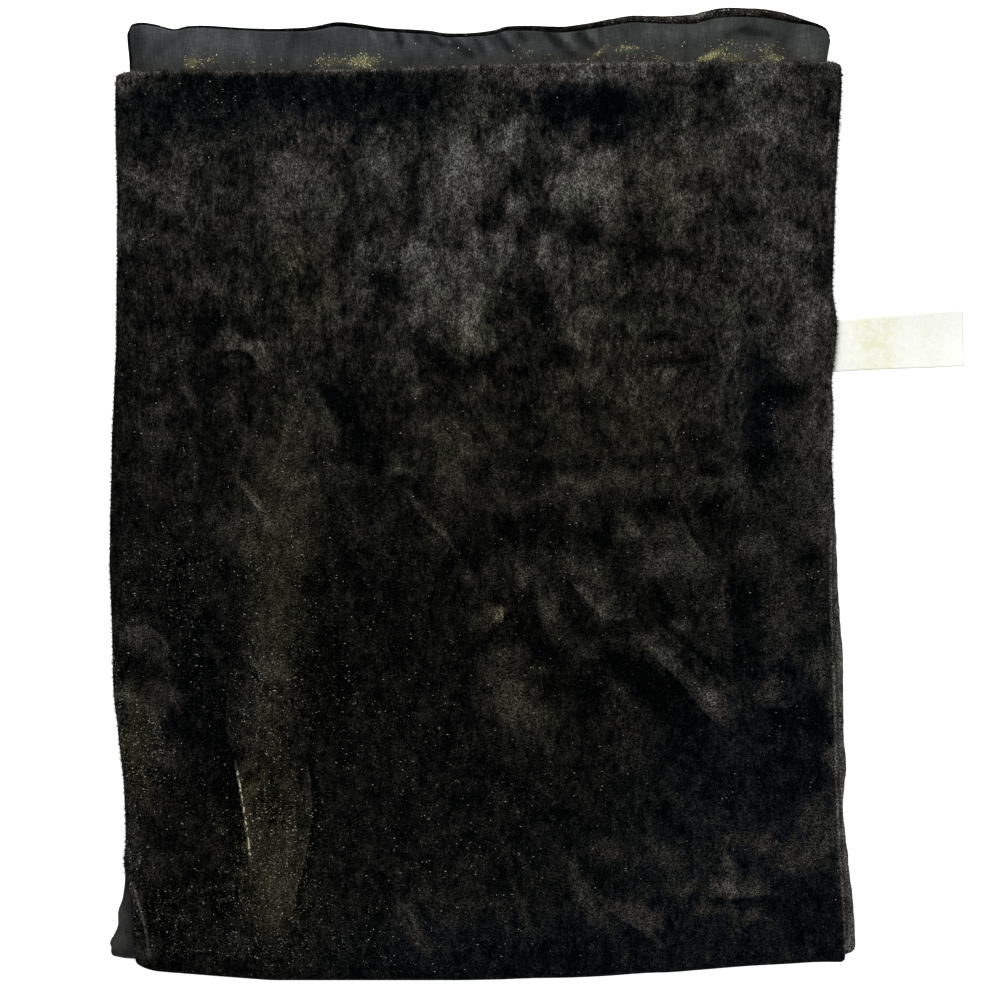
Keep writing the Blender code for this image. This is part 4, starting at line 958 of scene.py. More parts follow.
goldGlintLines = [  # x0, y0, x1, y1, width, share: painted gold glints along crease rims and the left edge
    (-140.6, -172, -138.0, -181, 2.4, 1.0), (-200.4, -185, -197.0, -205, 0.9, 0.6),
    (-124, -168, -118, -166, 1.6, 0.9), (-123, -180, -119, -174, 2.0, 0.5),
    (-206.6, -75, -203.0, -125, 0.8, 0.3), (-203.0, -125, -200.6, -180, 0.9, 0.4),
]
warmPatches = [  # x, y, half width, half height, turn, how much warmer, or cooler below 0
    (-130, -175, 18, 42, 4, 0.9), (-122, -40, 22, 90, 0, 0.5), (-160, -60, 60, 170, 0, 0.25),
    (-170, -130, 36, 60, 0, 0.12),
    (-196, -128, 8, 24, 0, 0.8), (60, 50, 60, 60, 0, 0.35),
    (-19, -58, 8, 8, 0, 0.5), (-150, -210, 60, 30, 0, 0.2), (-5, -95, 22, 34, 0, 0.4),
    (-40, 20, 30, 50, 0, 0.25), (-112, 105, 18, 26, 0, 0.4), (60, 150, 30, 30, 0, 0.3),
    (-60, -90, 50, 60, 0, 0.25), (40, -130, 30, 30, 0, 0.3), (110, -160, 60, 80, 0, -0.75),
    (30, -225, 130, 16, 0, -0.8), (0, 10, 66, 70, 0, 0.3), (60, -75, 40, 30, 0, 0.3),
    (110, 45, 16, 34, 0, -0.6), (130, 170, 22, 40, 0, -0.3),
    (-130, 190, 80, 20, 0, -0.5), (30, 190, 26, 14, 0, -0.7), (-165, -95, 16, 40, 0, -0.3),
]
napBase = curveThrough([
    (-240, 0.18), (-220, 0.2), (-150, 0.18), (-90, 0.18), (-40, 0.25), (20, 0.3), (90, 0.38),
    (150, 0.48), (185, 0.36), (212, 0.32),
])
endRimSheen = curveThrough([  # across, how light the pile at the sewn end is painted where it pushes out: a painted sheen along its rim
    (-205, 0.5), (-180, 0.7), (-140, 0.7), (-90, 0.85), (-60, 0.8), (-20, 0.8), (20, 0.75),
    (60, 0.7), (84, 0.4), (110, 0.6), (150, 0.6),
])


topPile = {
    "wander": (  # reach, size and seed of the waves across, and of those along
        ((2.6, 14.0, 5.0), (2.2, 4.5, 2.0)), ((3.4, 16.0, 9.0), (3.2, 4.5, 7.0)),
    ),
    "strokeWander": (((0.8, 9.0, 1.0),), ((0.8, 9.0, 4.0),)),
    "rightRise": (0.14, 20.0, -70.0, 60.0),  # how much, from where across and along, fade
    "leftDrop": (0.08, -130.0, 40.0),
    "patches": 1.45,
    "range": (0.03, 1.15),
    "strokes": 1.3,
    "rim": (2.0, 0.6, 11.0, 3.0),  # the sewn end's painted sheen: its width, how far that changes, the change's size and seed
    "line": (0.9, 0.5, 9.0, 6.6),  # the painted highlight along the right edge, in the same way
    "lineFrom": (10.0, 60.0),
    "lineWidth": 0.9,
}
ledgeFade = {"ends": 7.0, "reach": 10.0, "fade": 4.0}


def topNapAndPaintedLight(x, y):
    # How the pile lies, from 0, dark, to 1, brushed light, with painted highlights and shade on creases,
    # a painted sheen along the sewn end and a painted highlight along the right edge.
    acrossWaves, alongWaves = topPile["wander"]
    wx = wandering(x, x, y, acrossWaves)
    wy = wandering(y, x, y, alongWaves)
    rise, startX, startY, fade = topPile["rightRise"]
    nap = napBase(y) + rise * softStep((x - startX) / fade) * softStep((y - startY) / fade)
    drop, startX, fade = topPile["leftDrop"]
    nap = nap - drop * softStep((startX - x) / fade)
    nap = nap + topPile["patches"] * patchSum(wx, wy, brushed)
    nap = np.clip(nap, *topPile["range"])
    acrossWaves, alongWaves = topPile["strokeWander"]
    sx = wandering(x, x, y, acrossWaves)
    sy = wandering(y, x, y, alongWaves)
    # painted highlights and shade along the creases
    nap = nap + topPile["strokes"] * strokeSum(sx, sy, creaseLightAndShade)
    # a painted sheen along the sewn end's rim
    fromEnd = topOutline["end"](x) - y
    width, change, size, seed = topPile["rim"]
    reach = width * (1 + change * clothNoise(x, y, size, seed))
    nap = nap + endRimSheen(x) * np.exp(-((fromEnd / reach) ** 2))
    # a painted highlight along the right edge
    fromRight = topOutline["right"](y) - x
    width, change, size, seed = topPile["line"]
    start, fade = topPile["lineFrom"]
    line = (width + change * clothNoise(x, y, size, seed)) * softStep((start - y) / fade)
    return nap + line * np.exp(-((fromRight / topPile["lineWidth"]) ** 2))


def ledgeFields(x, y):
    # The distance past the nearest ledge, over 0 on its light side, and its three strengths: painted
    # shade, painted highlight and painted gold glint.
    nearest = np.full(np.shape(x), farAway)
    fields = {word: 0.0 * x for word in ("ledge", "shade", "shine", "thread")}
    for shade, shine, thread, route in ledges:
        lengths = np.cumsum([0.0, *(math.dist(*ends) for ends in zip(route, route[1:]))])
        for start, stop, (x0, y0), (x1, y1) in zip(lengths, lengths[1:], route, route[1:]):
            t = ((x - x0) * (x1 - x0) + (y - y0) * (y1 - y0)) / (stop - start) ** 2
            aside = ((x1 - x0) * (y - y0) - (y1 - y0) * (x - x0)) / (stop - start)
            past = np.maximum(np.maximum(-t, t - 1), 0.0) * (stop - start)
            distance = np.hypot(aside, past)
            run = start + np.clip(t, 0, 1) * (stop - start)
            fromTip = softStep(np.minimum(run, lengths[-1] - run) / ledgeFade["ends"])
            strength = fromTip * softStep((ledgeFade["reach"] - distance) / ledgeFade["fade"])
            closer = distance < nearest
            nearest = np.where(closer, distance, nearest)
            values = (np.where(aside < 0, -distance, distance), shade * strength, shine * strength,
                      thread * strength)
            for word, value in zip(fields, values):
                fields[word] = np.where(closer, value, fields[word])
    return fields


def topGold(x, y):
    return patchSum(x, y, goldPatches) + strokeSum(x, y, goldGlintLines)


def makeTopVelvet():
    across = evenShares(topVelvet["columns"])
    along = evenShares(topVelvet["rows"])[1:]
    flatTop = dict(topOutline, fold=lambda x: topOutline["fold"](x) + foldRadius)
    grid = np.meshgrid(across, along)
    x, y = placeIn(flatTop, *grid)
    z = topMiddle + topRelief(x, y) - edgeDroop(x, y)
    left, right = topVelvet["pileReach"]
    x = x - left + (left + right) * grid[0]
    wander, length = topVelvet["flutter"]
    (sideStart, sideFade), (endStart, endFade) = topVelvet["flutterFrom"]
    side = np.abs(grid[0] - 0.5) * 2
    x = x + wander * clothNoise(x, y, length, 6.0) * softStep((side - sideStart) / sideFade)
    y = y + wander * clothNoise(x, y, length, 7.5) * softStep((grid[1] - endStart) / endFade)
    flat = np.stack([x, y, z], axis=-1)

    brink = placeIn(flatTop, across, 0.0 * across)
    bend = foldRadius - topVelvet["wall"] / 2
    turned = []
    for turn in np.linspace(0, math.pi, topVelvet["foldRows"] + 1):
        rise = foldRadius + bend * math.cos(turn) + 0.0 * across
        y = brink[1] - (bend + topVelvet["foldReach"]) * math.sin(turn)
        turned.append(np.stack([brink[0], y, rise], axis=-1))
    for back in np.linspace(0, topVelvet["tail"], topVelvet["tailRows"] + 1)[1:]:
        low = 0.0 * across + topVelvet["wall"] / 2
        turned.append(np.stack([brink[0], brink[1] + back, low], axis=-1))
    points = np.concatenate([np.array(turned[::-1]), flat])

    wide, deep = topVelvet["span"]
    inwards = np.minimum(across, 1 - across) * wide
    edges = np.tile(roundedEdge(inwards, topVelvet["edgeReach"]), (len(points), 1))
    endwards = np.concatenate([np.full(len(turned), farAway), (1 - along) * deep])
    edges = np.minimum(edges, roundedEdge(endwards, topVelvet["edgeReach"])[:, None])
    px, py = points[..., 0], points[..., 1]
    warm = patchSum(px, py, warmPatches)
    attributes = {"nap": topNapAndPaintedLight(px, py), "glint": topGold(px, py), "warm": np.clip(warm, -1, 1)}
    attributes.update(ledgeFields(px, py))
    piece = laySheet("velvetTopLayer", points, topVelvet["wall"], velvet,
                     edges, attributes)
    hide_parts("velvet_top_layer")
    return piece


# The lower layers: ground, third and end, with how far each is set back and how its sides wave.
stack = {
    "width": 350.0,  # for their rounded edges
    "endSetback": 9.0,
    "sideSetback": {"ground": 2.6, "third": 1.8, "end": 0.0},
    "sideWave": {"ground": (1.3, 95.0, 0.4), "third": (1.1, 70.0, 2.1), "end": (0.0, 90.0, 0.0)},
    "turnInset": 2.4,  # the velvet stops short of the side turn
    "insetFrom": (74.0, 60.0),  # where along the side that starts, and over how far
    "meets": (-215.0, 60.0, 0.6),  # the ground layer's sides meet the top layer's at the broad fold
}
hemRoll = {
    "rows": [  # across, width, height
        (-200, 1.8, 3.2), (-188, 1.3, 3.0), (-178, 1.0, 3.0), (-172, 1.4, 3.2), (-127, 1.7, 3.2),
        (-98, 2.7, 3.6), (-70, 2.3, 3.4), (-30, 2.3, 3.6), (0, 3.0, 3.8), (40, 3.8, 4.0), (66, 4.5, 4.1),
        (80, 5.2, 4.3), (113, 5.1, 4.2), (125, 4.2, 3.8), (136, 2.2, 3.4), (145, 1.4, 3.2),
    ],
    "startsAlong": 190.0,
    "fade": 34.0,
    "settled": 8.0,  # the layer inside it is drawn in this far before it starts
    "tuck": 0.95,  # how far that layer's end stays back, as a share of the roll's width
    "gap": 0.3,
    "middle": 8.3,
    "sides": 12,
    "stations": 300,
    "leftRun": (226.0, 12),  # where it stops, and in how many points
    "endRun": (-198.8, 145.2, 200),
    "rightRun": (221.0, 215.0, 5),
    "swells": [(0.1, 0.13, 4.0), (0.06, 0.4, 1.0)],  # reach, step, seed
    "taper": (0.15, 14.0),  # its last station's share, and over how many stations it grows
    "tucked": (4.0, 6.0, 2.6, 7.6),  # under the top layer: its start, fade, height and middle
    "nap": (0.14, 0.3, 0.21, 0.3),  # how it lies, how far that wanders, and the steps of the noise
    "warm": 0.4,
    "glints": [  # across, the share of gold threads that show
        (-200, 0.02), (-60, 0.03), (48, 0.06), (60, 0.15), (88, 0.25), (112, 0.16), (126, 0.06),
    ],
    "crownHighlight": [  # across, how much lighter the roll's top is painted: a painted highlight
        (-200, 0.0), (20, 0.1), (44, 0.5), (68, 0.6), (80, 1.1), (90, 0.5), (125, 0.4), (140, 0.0),
    ],
    "crownAt": (1.9, 0.6),  # the painted highlight's turn round the roll, and its spread
}
rollWidth = curveThrough([(across, width) for across, width, height in hemRoll["rows"]])
rollHeight = curveThrough([(across, height) for across, width, height in hemRoll["rows"]])
rollGlint = curveThrough(hemRoll["glints"])
rollCrownHighlight = curveThrough(hemRoll["crownHighlight"])


def layerOutline(layer, extra=0.0, turnInset=0.0):
    # One lower layer's outline, drawn in by extra, and by turnInset along the lower right side.
    setback = stack["sideSetback"][layer] + extra
    height, length, phase = stack["sideWave"][layer]
    insetStart, insetFade = stack["insetFrom"]

    def wave(along):
        return height * np.sin(2 * math.pi * along / length + phase)

    def rollInset(along):
        ahead = along - hemRoll["startsAlong"] + hemRoll["fade"]
        share = softStep(ahead / (hemRoll["fade"] - hemRoll["settled"]))
        return share * (rollWidth(-200.0) + hemRoll["gap"]) if layer == "end" else 0.0 * along

    def side(name, along, own):
        start, reach, inset = stack["meets"]
        share = 1 - softStep((along - start) / reach) if layer == "ground" else 0.0
        inset += extra
        meeting = topOutline[name](along) + (inset if name == "left" else -inset)
        return own + (meeting - own) * share

    def end(across):
        if layer != "end":
            return endOutline["end"](across) - stack["endSetback"]
        slope = (endOutline["end"](across + 1) - endOutline["end"](across - 1)) / 2
        return endOutline["end"](across) - (rollWidth(across) * hemRoll["tuck"]) * np.hypot(1, slope)

    return {
        "left": lambda y: side("left", y, endOutline["left"](y) + setback + wave(y) + rollInset(y)),
        "right": lambda y: side("right", y, endOutline["right"](y) - setback + wave(y + length / 3)
                                - turnInset * softStep((insetStart - y) / insetFade)),
        "fold": endOutline["fold"],
        "end": end,
    }


def layRun(layer, across, shares, foldInset, endInset, height, extra=0.0, turnInset=0.0):
    # A flat run of one layer: rows of points from near its fold to near its end.
    outline = layerOutline(layer, extra, turnInset)
    run = dict(outline)
    run["fold"] = lambda x: outline["fold"](x) + foldInset
    run["end"] = lambda x: outline["end"](x) - endInset
    x, y = placeIn(run, *np.meshgrid(across, shares))
    return np.stack([x, y, 0.0 * x + height], axis=-1)


def layTurn(before, after, radius, count, outwards):
    # Rows that turn from one flat run's last row to the next one's first, round a fold.
    rows = []
    for turn in np.linspace(0, math.pi, count + 2)[1:-1]:
        row = before + (after - before) * (1 - math.cos(turn)) / 2
        row[:, 1] += outwards * radius * math.sin(turn)
        rows.append(row)
    return np.array(rows)


underVelvet = {
    "wall": 1.9,
    "heights": (0.95, 4.7, 7.2),
    "columns": 110,
    "rows": (40, 30, 40),
    "insets": ((20.6, 1.9), (2.2, 1.9), (2.2, 0.4)),  # each layer's, at its fold and at its end
    "turns": (9, 7),
    "edgeReach": 1.2,
    "nap": (0.32, 0.1, 15.0),  # how it lies, how far that wanders, and over what length
}


def makeUnderVelvet():
    # The hidden velvet: the ground layer, the fold at the sewn ends, the third and end layers.
    across = evenShares(underVelvet["columns"])
    low, middle, high = underVelvet["heights"]
    groundRows, thirdRows, endRows = underVelvet["rows"]
    groundInsets, thirdInsets, endInsets = underVelvet["insets"]
    ground = layRun("ground", across, np.linspace(0, 1, groundRows), *groundInsets, low)
    third = layRun("third", across, np.linspace(1, 0, thirdRows), *thirdInsets, middle)
    end = layRun("end", across, np.linspace(0, 1, endRows), *endInsets, high, 0.0, stack["turnInset"])
    outerRows, innerRows = underVelvet["turns"]
    outer = layTurn(ground[-1], third[0], (middle - low) / 2, outerRows, 1.0)
    inner = layTurn(third[-1], end[0], (high - middle) / 2, innerRows, -1.0)
    points = np.concatenate([ground, outer, third, inner, end])
    inwards = np.minimum(across, 1 - across) * stack["width"]
    edges = np.tile(roundedEdge(inwards, underVelvet["edgeReach"]), (len(points), 1))
    lie, wander, length = underVelvet["nap"]
    attributes = {"nap": lie + wander * clothNoise(points[..., 0], points[..., 1], length)}
    piece = laySheet("velvetLowerLayers", points, underVelvet["wall"], velvet, edges,
                     attributes)
    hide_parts("folded_layers")


liningCloth = {
    "wall": 0.6,
    "heights": (2.35, 3.3, 9.65),
    "columns": 250,
    "edgeReach": 0.5,
    "hiddenRows": 20,
    "nearFold": (0.11, 26),  # the end layer's rows: up to which share, and how many
    "between": (0.13, 0.9, 22),
    "nearEnd": (0.085, 44),
    "insets": ((8.0, 3.4), (3.2, 3.4), (2.0, 0.0)),  # each layer's, at its fold and at its end
    "drawnIn": (0.9, 0.9, -0.6),
    "turnInset": 15.7,
    "turns": (5, 11),
    "turnTrim": 0.2,
    "waves": (0.3, 17.0, 4.4),  # height, size, seed
    "wavesOutside": 5.0,
    "waveRange": (-0.7, 1.2),
    "shownAbove": 8.0,
    "lie": 0.64,
    "rightDrop": (0.05, -120.0, 60.0),  # how much darker, from where, over how far
    # painted shade on the lining's corner by the broad fold: how much, from where, over how far
    "foldCornerShade": (0.3, -100.0, 60.0),
    "toneStrength": 1.2,
    "foldStrength": 1.3,
    "sheenStreaks": (0.16, 0.4, 6.0),  # painted sheen in long bands: how much, how far they stretch along, size and seed
    "warmEnd": (219.0, 9.0, 0.5),
    "warmRight": (-40.0, 60.0, 0.35),
    "puckers": [  # x, y, half width, half height, turn, height
        (-78, 227, 3, 4, 30, -0.6), (-70, 225, 2.5, 4, 35, 0.6), (-60, 223, 3, 4, 40, -0.7),
        (-50, 223, 2.5, 4, 40, 0.6), (-42, 222, 3, 5, 35, -0.8), (-32, 222, 3, 4, 30, 0.5),
        (-24, 221, 3, 5, 20, -0.7), (-14, 222, 3, 4, 20, 0.4), (-6, 223, 3, 5, 10, -0.5),
        (14, 224, 6, 4, -20, -0.9), (100, 229, 8, 3, 0, -0.6), (60, 222, 12, 4, 10, 0.4),
        (-150, 221, 20, 5, 0, 0.3), (-110, 219, 14, 5, 0, -0.3), (-183, 218, 5, 7, 0, -0.4),
    ],
    "gold": [  # x, y, half width, half height, turn, the share of gold threads that show
        (-169.5, 211.5, 2.8, 2.6, 0, 0.55), (-163, 213, 5, 2.4, 0, 0.25), (-139, 213, 12, 3, 0, 0.03),
        (-100, 212, 6.5, 2.8, 0, 0.42), (-85, 212, 5.5, 3.2, 0, 0.75), (-76, 213, 4, 2, 0, 0.12),
        (-6, 216, 5, 3, 0, 0.08), (31.5, 217, 4.6, 1.2, 40, 0.55), (45, 219, 5.2, 1.3, 4, 0.45),
        (52, 214.5, 14, 3, 0, 0.07), (63, 213, 6, 2, 0, 0.12), (85, 214.6, 6.0, 1.7, 28, 1.1),
        (96, 213.5, 6, 2.6, 0, 0.5), (98, 219, 9, 4, 0, 0.14), (117, 213.2, 4.5, 2.2, 0, 0.6),
        (115, 218.5, 5, 3.5, 0, 0.2), (60, 214, 90, 6, 0, 0.012),
    ],
    "tones": [  # x, y, half width, half height, turn, how much lighter: painted sheen and shade of the satin's soft folds
        (-196, 214, 5, 15, 0, -0.34), (-186, 228, 8, 4, 0, 0.2), (-165, 221, 16, 7, 0, 0.12),
        (-140, 222, 8, 7, 0, 0.1), (-131, 221, 4, 8, 0, -0.1), (-118, 220, 4, 8, 0, -0.12),
        (-103, 221, 6, 7, 0, -0.12), (-88, 224, 6, 4, 0, 0.12), (-74, 219, 8, 6, 0, 0.1),
        (-50, 215, 6, 3, 0, -0.12), (-22, 214, 8, 3, 0, 0.1), (3, 221, 5, 6, 0, 0.14),
        (60, 226, 16, 5, 0, 0.14), (86, 226, 6, 4, 0, 0.1), (92, 231, 8, 2.4, 14, 0.2),
        (134, 220, 7, 9, 0, 0.24), (122.5, 218, 3.5, 9, 0, -0.2), (-120, 211, 60, 2.5, 0, -0.12),
        (20, 214, 60, 2, 0, -0.12), (74, 220, 10, 3, 0, -0.1), (112, 221, 5, 4, 0, 0.1),
        (-204.5, -206, 2.5, 7, 0, 0.24), (-205, -219, 4, 3, -30, 0.2), (-199, -212, 2.5, 12, 0, -0.08),
        (-203, -226, 7, 2, 0, -0.12), (-206, -213, 3, 2, 0, -0.1),
    ],
    "folds": [  # x0, y0, x1, y1, width, how much lighter: painted light and shade on the puckers and folds
        (-80.4, 226.6, -79.2, 224.2, 0.8, 1.0), (-72, 226.5, -70, 223.5, 1.4, 0.2),
        (-67.6, 226.5, -65.8, 221.5, 1.3, -0.42), (-63.5, 226, -60.5, 222, 1.6, 0.24),
        (-58.5, 226, -56.8, 222.5, 1.2, -0.36), (-51.5, 224.6, -46.5, 220.6, 1.7, -0.46),
        (-47, 225, -44, 223, 1.2, 0.26), (-42.6, 222.6, -41.8, 221.8, 0.9, 0.9),
        (-41.5, 221.5, -31.5, 215.6, 2.6, -0.42), (-37, 224, -34, 221, 1.4, 0.26),
        (-29, 222.5, -25.5, 216.5, 1.6, -0.28), (-27, 224, -22, 219, 1.8, 0.26),
        (-19, 226.5, -13, 218.5, 2.0, -0.46), (-16, 227.5, -10.5, 221, 1.8, 0.24),
        (-8.6, 227, -5, 223, 1.6, -0.34), (6, 226.5, 11, 221.5, 2.4, -0.44),
        (11, 221.5, 16.8, 217.2, 3.0, -0.5), (14, 227, 19, 220, 2.0, 0.28),
        (22, 225.4, 27.5, 220.4, 2.8, -0.44), (26.2, 227.4, 27, 224, 1.1, 0.44),
        (29, 227.6, 30, 221.4, 1.4, 0.4), (43, 227.5, 47, 222.6, 2.8, -0.18),
        (95, 225.6, 103, 227.6, 2.4, -0.36), (103, 227.6, 114, 225.8, 2.6, -0.42),
        (-118, 227, -122, 210, 2.0, -0.12), (-174, 226, -186, 217, 2.4, -0.14),
    ],
}


def makeLining():
    # One sheet of satin: inside the ground and third layers, then over the end layer.
    across = evenShares(liningCloth["columns"])
    low, middle, high = liningCloth["heights"]
    groundInsets, thirdInsets, endInsets = liningCloth["insets"]
    groundIn, thirdIn, endIn = liningCloth["drawnIn"]
    hidden = np.linspace(0, 1, liningCloth["hiddenRows"])
    back = np.linspace(1, 0, liningCloth["hiddenRows"])
    ground = layRun("ground", across, hidden, *groundInsets, low, groundIn)
    third = layRun("third", across, back, *thirdInsets, middle, thirdIn)
    nearFold = np.linspace(0, *liningCloth["nearFold"])
    nearEnd = 1 - np.linspace(0, *liningCloth["nearEnd"])[::-1]
    shares = np.concatenate([nearFold, np.linspace(*liningCloth["between"]), nearEnd])
    end = layRun("end", across, shares, *endInsets, high, endIn, liningCloth["turnInset"])
    past = topOutline["end"](end[..., 0]) - end[..., 1]
    outside = 1 - softStep(past / liningCloth["wavesOutside"])
    height, size, seed = liningCloth["waves"]
    waves = height * clothNoise(end[..., 0], end[..., 1], size, seed)
    for row in liningCloth["puckers"]:
        waves = waves + row[5] * patchAt(end[..., 0], end[..., 1], row)
    end[..., 2] += np.clip(waves * outside, *liningCloth["waveRange"])
    innerRows, outerRows = liningCloth["turns"]
    inner = layTurn(ground[-1], third[0], (middle - low) / 2, innerRows, 1.0)
    radius = (high - middle) / 2 - liningCloth["turnTrim"]
    outer = layTurn(third[-1], end[0], radius, outerRows, -1.0)
    points = np.concatenate([ground, inner, third, outer, end])
    inwards = np.minimum(across, 1 - across) * stack["width"]
    edges = np.tile(roundedEdge(inwards, liningCloth["edgeReach"]), (len(points), 1))
    px, py, pz = points[..., 0], points[..., 1], points[..., 2]
    shown = np.where(pz > liningCloth["shownAbove"], 1.0, 0.0)
    glint = patchSum(px, py, liningCloth["gold"]) * shown
    right, rightStart, rightFade = liningCloth["rightDrop"]
    fold, foldStart, foldFade = liningCloth["foldCornerShade"]
    lie = liningCloth["lie"] - right * softStep((px - rightStart) / rightFade)
    # painted shade on the corner toward the broad fold
    lie = lie - fold * softStep(-(py - foldStart) / foldFade)
    # painted sheen and shade of the satin's folds and puckers
    lie = lie + liningCloth["toneStrength"] * patchSum(px, py, liningCloth["tones"])
    lie = lie + liningCloth["foldStrength"] * strokeSum(px, py, liningCloth["folds"])
    much, stretch, size = liningCloth["sheenStreaks"]
    lie = lie + much * clothNoise(px, py * stretch, size, size)
    start, fade, share = liningCloth["warmEnd"]
    warm = softStep((start - py) / fade) * share
    start, fade, share = liningCloth["warmRight"]
    warm = warm + softStep((px - start) / fade) * share
    attributes = {"lie": lie, "warm": np.clip(warm * shown, 0, 1), "glint": glint}
    piece = laySheet("liningSheet", points, liningCloth["wall"], satin, edges, attributes)
    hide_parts("lining_end_layer")


def hemRoute():
    # Points round the end layer's sewn end, from its left side to its right corner.
    leftRun = np.linspace(hemRoll["startsAlong"], *hemRoll["leftRun"])
    left = [(endOutline["left"](y), y) for y in leftRun]
    end = [(x, endOutline["end"](x)) for x in np.linspace(*hemRoll["endRun"])]
    right = [(endOutline["right"](y), y) for y in np.linspace(*hemRoll["rightRun"])]
    route = np.array(left + end + right)
    lengths = np.concatenate([[0], np.cumsum(np.linalg.norm(np.diff(route, axis=0), axis=1))])
    stations = np.linspace(0, lengths[-1], hemRoll["stations"])
    route = np.column_stack([np.interp(stations, lengths, route[:, i]) for i in (0, 1)])
    ahead = np.gradient(route, axis=0)
    ahead /= np.linalg.norm(ahead, axis=1)[:, None]
    return route, np.column_stack([ahead[:, 1], -ahead[:, 0]])


def makeHemRoll():
    # The velvet rolled over the lining round the sewn end: a ring drawn along the edge.
    tip, growth = hemRoll["taper"]
    tuckStart, tuckFade, tuckHeight, tuckMiddle = hemRoll["tucked"]
    lie, change, alongStep, roundStep = hemRoll["nap"]
    crownTurn, crownSpread = hemRoll["crownAt"]
    body = bmesh.new()
    nap, glint, warm = (body.verts.layers.float.new(word) for word in ("nap", "glint", "warm"))
    made = bmesh.ops.create_circle(body, cap_ends=True, radius=1.0, segments=hemRoll["sides"])
    ring = made["verts"]
    edges = list({edge for vertex in ring for edge in vertex.link_edges})
    for index, (point, inward) in enumerate(zip(*hemRoute())):
        if index:
            grown = bmesh.ops.extrude_edge_only(body, edges=edges)["geom"]
            ring = [item for item in grown if isinstance(item, bmesh.types.BMVert)]
            fresh = set(ring)
            edges = [item for item in grown if isinstance(item, bmesh.types.BMEdge)]
            edges = [edge for edge in edges if all(vertex in fresh for vertex in edge.verts)]
        pulse = 1.0
        for reach, step, seed in hemRoll["swells"]:
            pulse += reach * noise.noise((index * step, seed, 1.0))
        pulse *= min(1.0, tip + (hemRoll["stations"] - index) / growth)
        under = softStep((topOutline["end"](point[0]) + tuckStart - point[1]) / tuckFade)
        width = rollWidth(point[0]) * pulse
        height = rollHeight(point[0]) * pulse * (1 - under) + tuckHeight * under
        middle = hemRoll["middle"] * (1 - under) + tuckMiddle * under
        centre = point + inward * (rollWidth(point[0]) / 2)
        for i, vertex in enumerate(ring):
            turn = 2 * math.pi * i / hemRoll["sides"]
            flat = centre + inward * (width / 2 * math.cos(turn))
            vertex.co = Vector((*flat, middle + height / 2 * math.sin(turn))) * mm
            # a painted highlight along the roll's top
            crownHighlight = math.exp(-(((turn - crownTurn) / crownSpread) ** 2)) * float(rollCrownHighlight(point[0]))
            vertex[nap] = lie + change * noise.noise((index * alongStep, i * roundStep, 2.0)) + crownHighlight
            vertex[glint] = float(rollGlint(point[0]))
            vertex[warm] = hemRoll["warm"]
    bmesh.ops.contextual_create(body, geom=edges)
    bmesh.ops.recalc_face_normals(body, faces=body.faces)
    mesh = bpy.data.meshes.new("velvetHemRoll")
    body.to_mesh(mesh)
    body.free()
    piece = linkPiece("velvetHemRoll", mesh, velvet)
    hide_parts("velvet_end_roll")


sideTurn = {
    "width": 12.0,
    "start": 14.0,
    "stop": -226.0,
    "rows": 200,
    "wall": 1.0,
    "top": 9.6,
    "curl": 1.9,
    "corner": 2.8,
    "flutter": (0.35, 6.0),  # how far its edge wanders, and over what length
    "lies": (0, 3, 5, 6.5, 8, 9),  # points across its flat part
    "turns": 12,
    "innerEdge": 0.15,
    "nap": 1.2,
    "napWander": (0.25, 6.0),
    "curlShade": (0.5, 9.0, 2.0),  # painted shade where it curls down: how much, below which height, over how far
    "shadeUnderTop": (0.5, 1.2, 1.6),  # painted shade under the top layer: how much, this far past the top layer's edge, over how far
    "glint": 0.004,
    "warm": -0.3,
}


def makeSideTurn():
    # The velvet turned over the lining along the lower right side, and round its edge.
    rows = []
    wander, length = sideTurn["flutter"]
    curl, top = sideTurn["curl"], sideTurn["top"]
    for y in np.linspace(sideTurn["stop"], sideTurn["start"], sideTurn["rows"]):
        right = endOutline["right"](y) + wander * noise.noise((y / length, 3.0, 0.0))
        past = min(max(0.0, sideTurn["stop"] + sideTurn["corner"] - y), sideTurn["corner"])
        right -= sideTurn["corner"] - math.sqrt(sideTurn["corner"] ** 2 - past ** 2)
        row = [(right - sideTurn["width"] + reach, y, top) for reach in sideTurn["lies"]]
        for turn in np.linspace(0, math.pi, sideTurn["turns"]):
            row.append((right - curl + curl * math.sin(turn), y, top - curl + curl * math.cos(turn)))
        rows.append(row)
    points = np.array(rows)
    edges = np.ones(points.shape[:2])
    edges[:, 0] = sideTurn["innerEdge"]
    px, py, pz = points[..., 0], points[..., 1], points[..., 2]
    change, size = sideTurn["napWander"]
    # painted shade where the edge curls down, and under the top layer's edge
    drop, level, fade = sideTurn["curlShade"]
    nap = sideTurn["nap"] + change * clothNoise(px, py, size, 1.0) - drop * softStep((level - pz) / fade)
    drop, past, fade = sideTurn["shadeUnderTop"]
    nap = nap - drop * softStep((topOutline["right"](py) + past - px) / fade)
    even = 0.0 * nap
    attributes = {"nap": nap, "glint": even + sideTurn["glint"], "warm": even + sideTurn["warm"]}
    piece = laySheet("velvetSideTurn", points, sideTurn["wall"], velvet, edges, attributes)
    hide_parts("velvet_side_turn")


pileFringe = {
    "strandsPerTuft": 48,
    "tuftSpan": 5.0,
    "length": (1.2, 3.1),
    "thickness": 0.18,
    "lean": 0.35,
    "rootDepth": 0.9,
    "rootSpread": 0.7,
    "step": 4.0,
    "kinds": 6,
    "seed": 7,
    "leftRun": (-218.0, 203.0, 120),  # from, to, in how many points
    "endRun": (-203.0, 147.0, 120),
    "rightRun": (208.0, -215.0, 120),
    "turnRun": (-20.0, -219.0, 80),
    "sideInset": 0.4,
    "endInset": 0.3,
    "turnInset": 0.9,
    "turnHeight": 8.2,
    "turnLight": 0.9,
    "warm": 0.15,
}


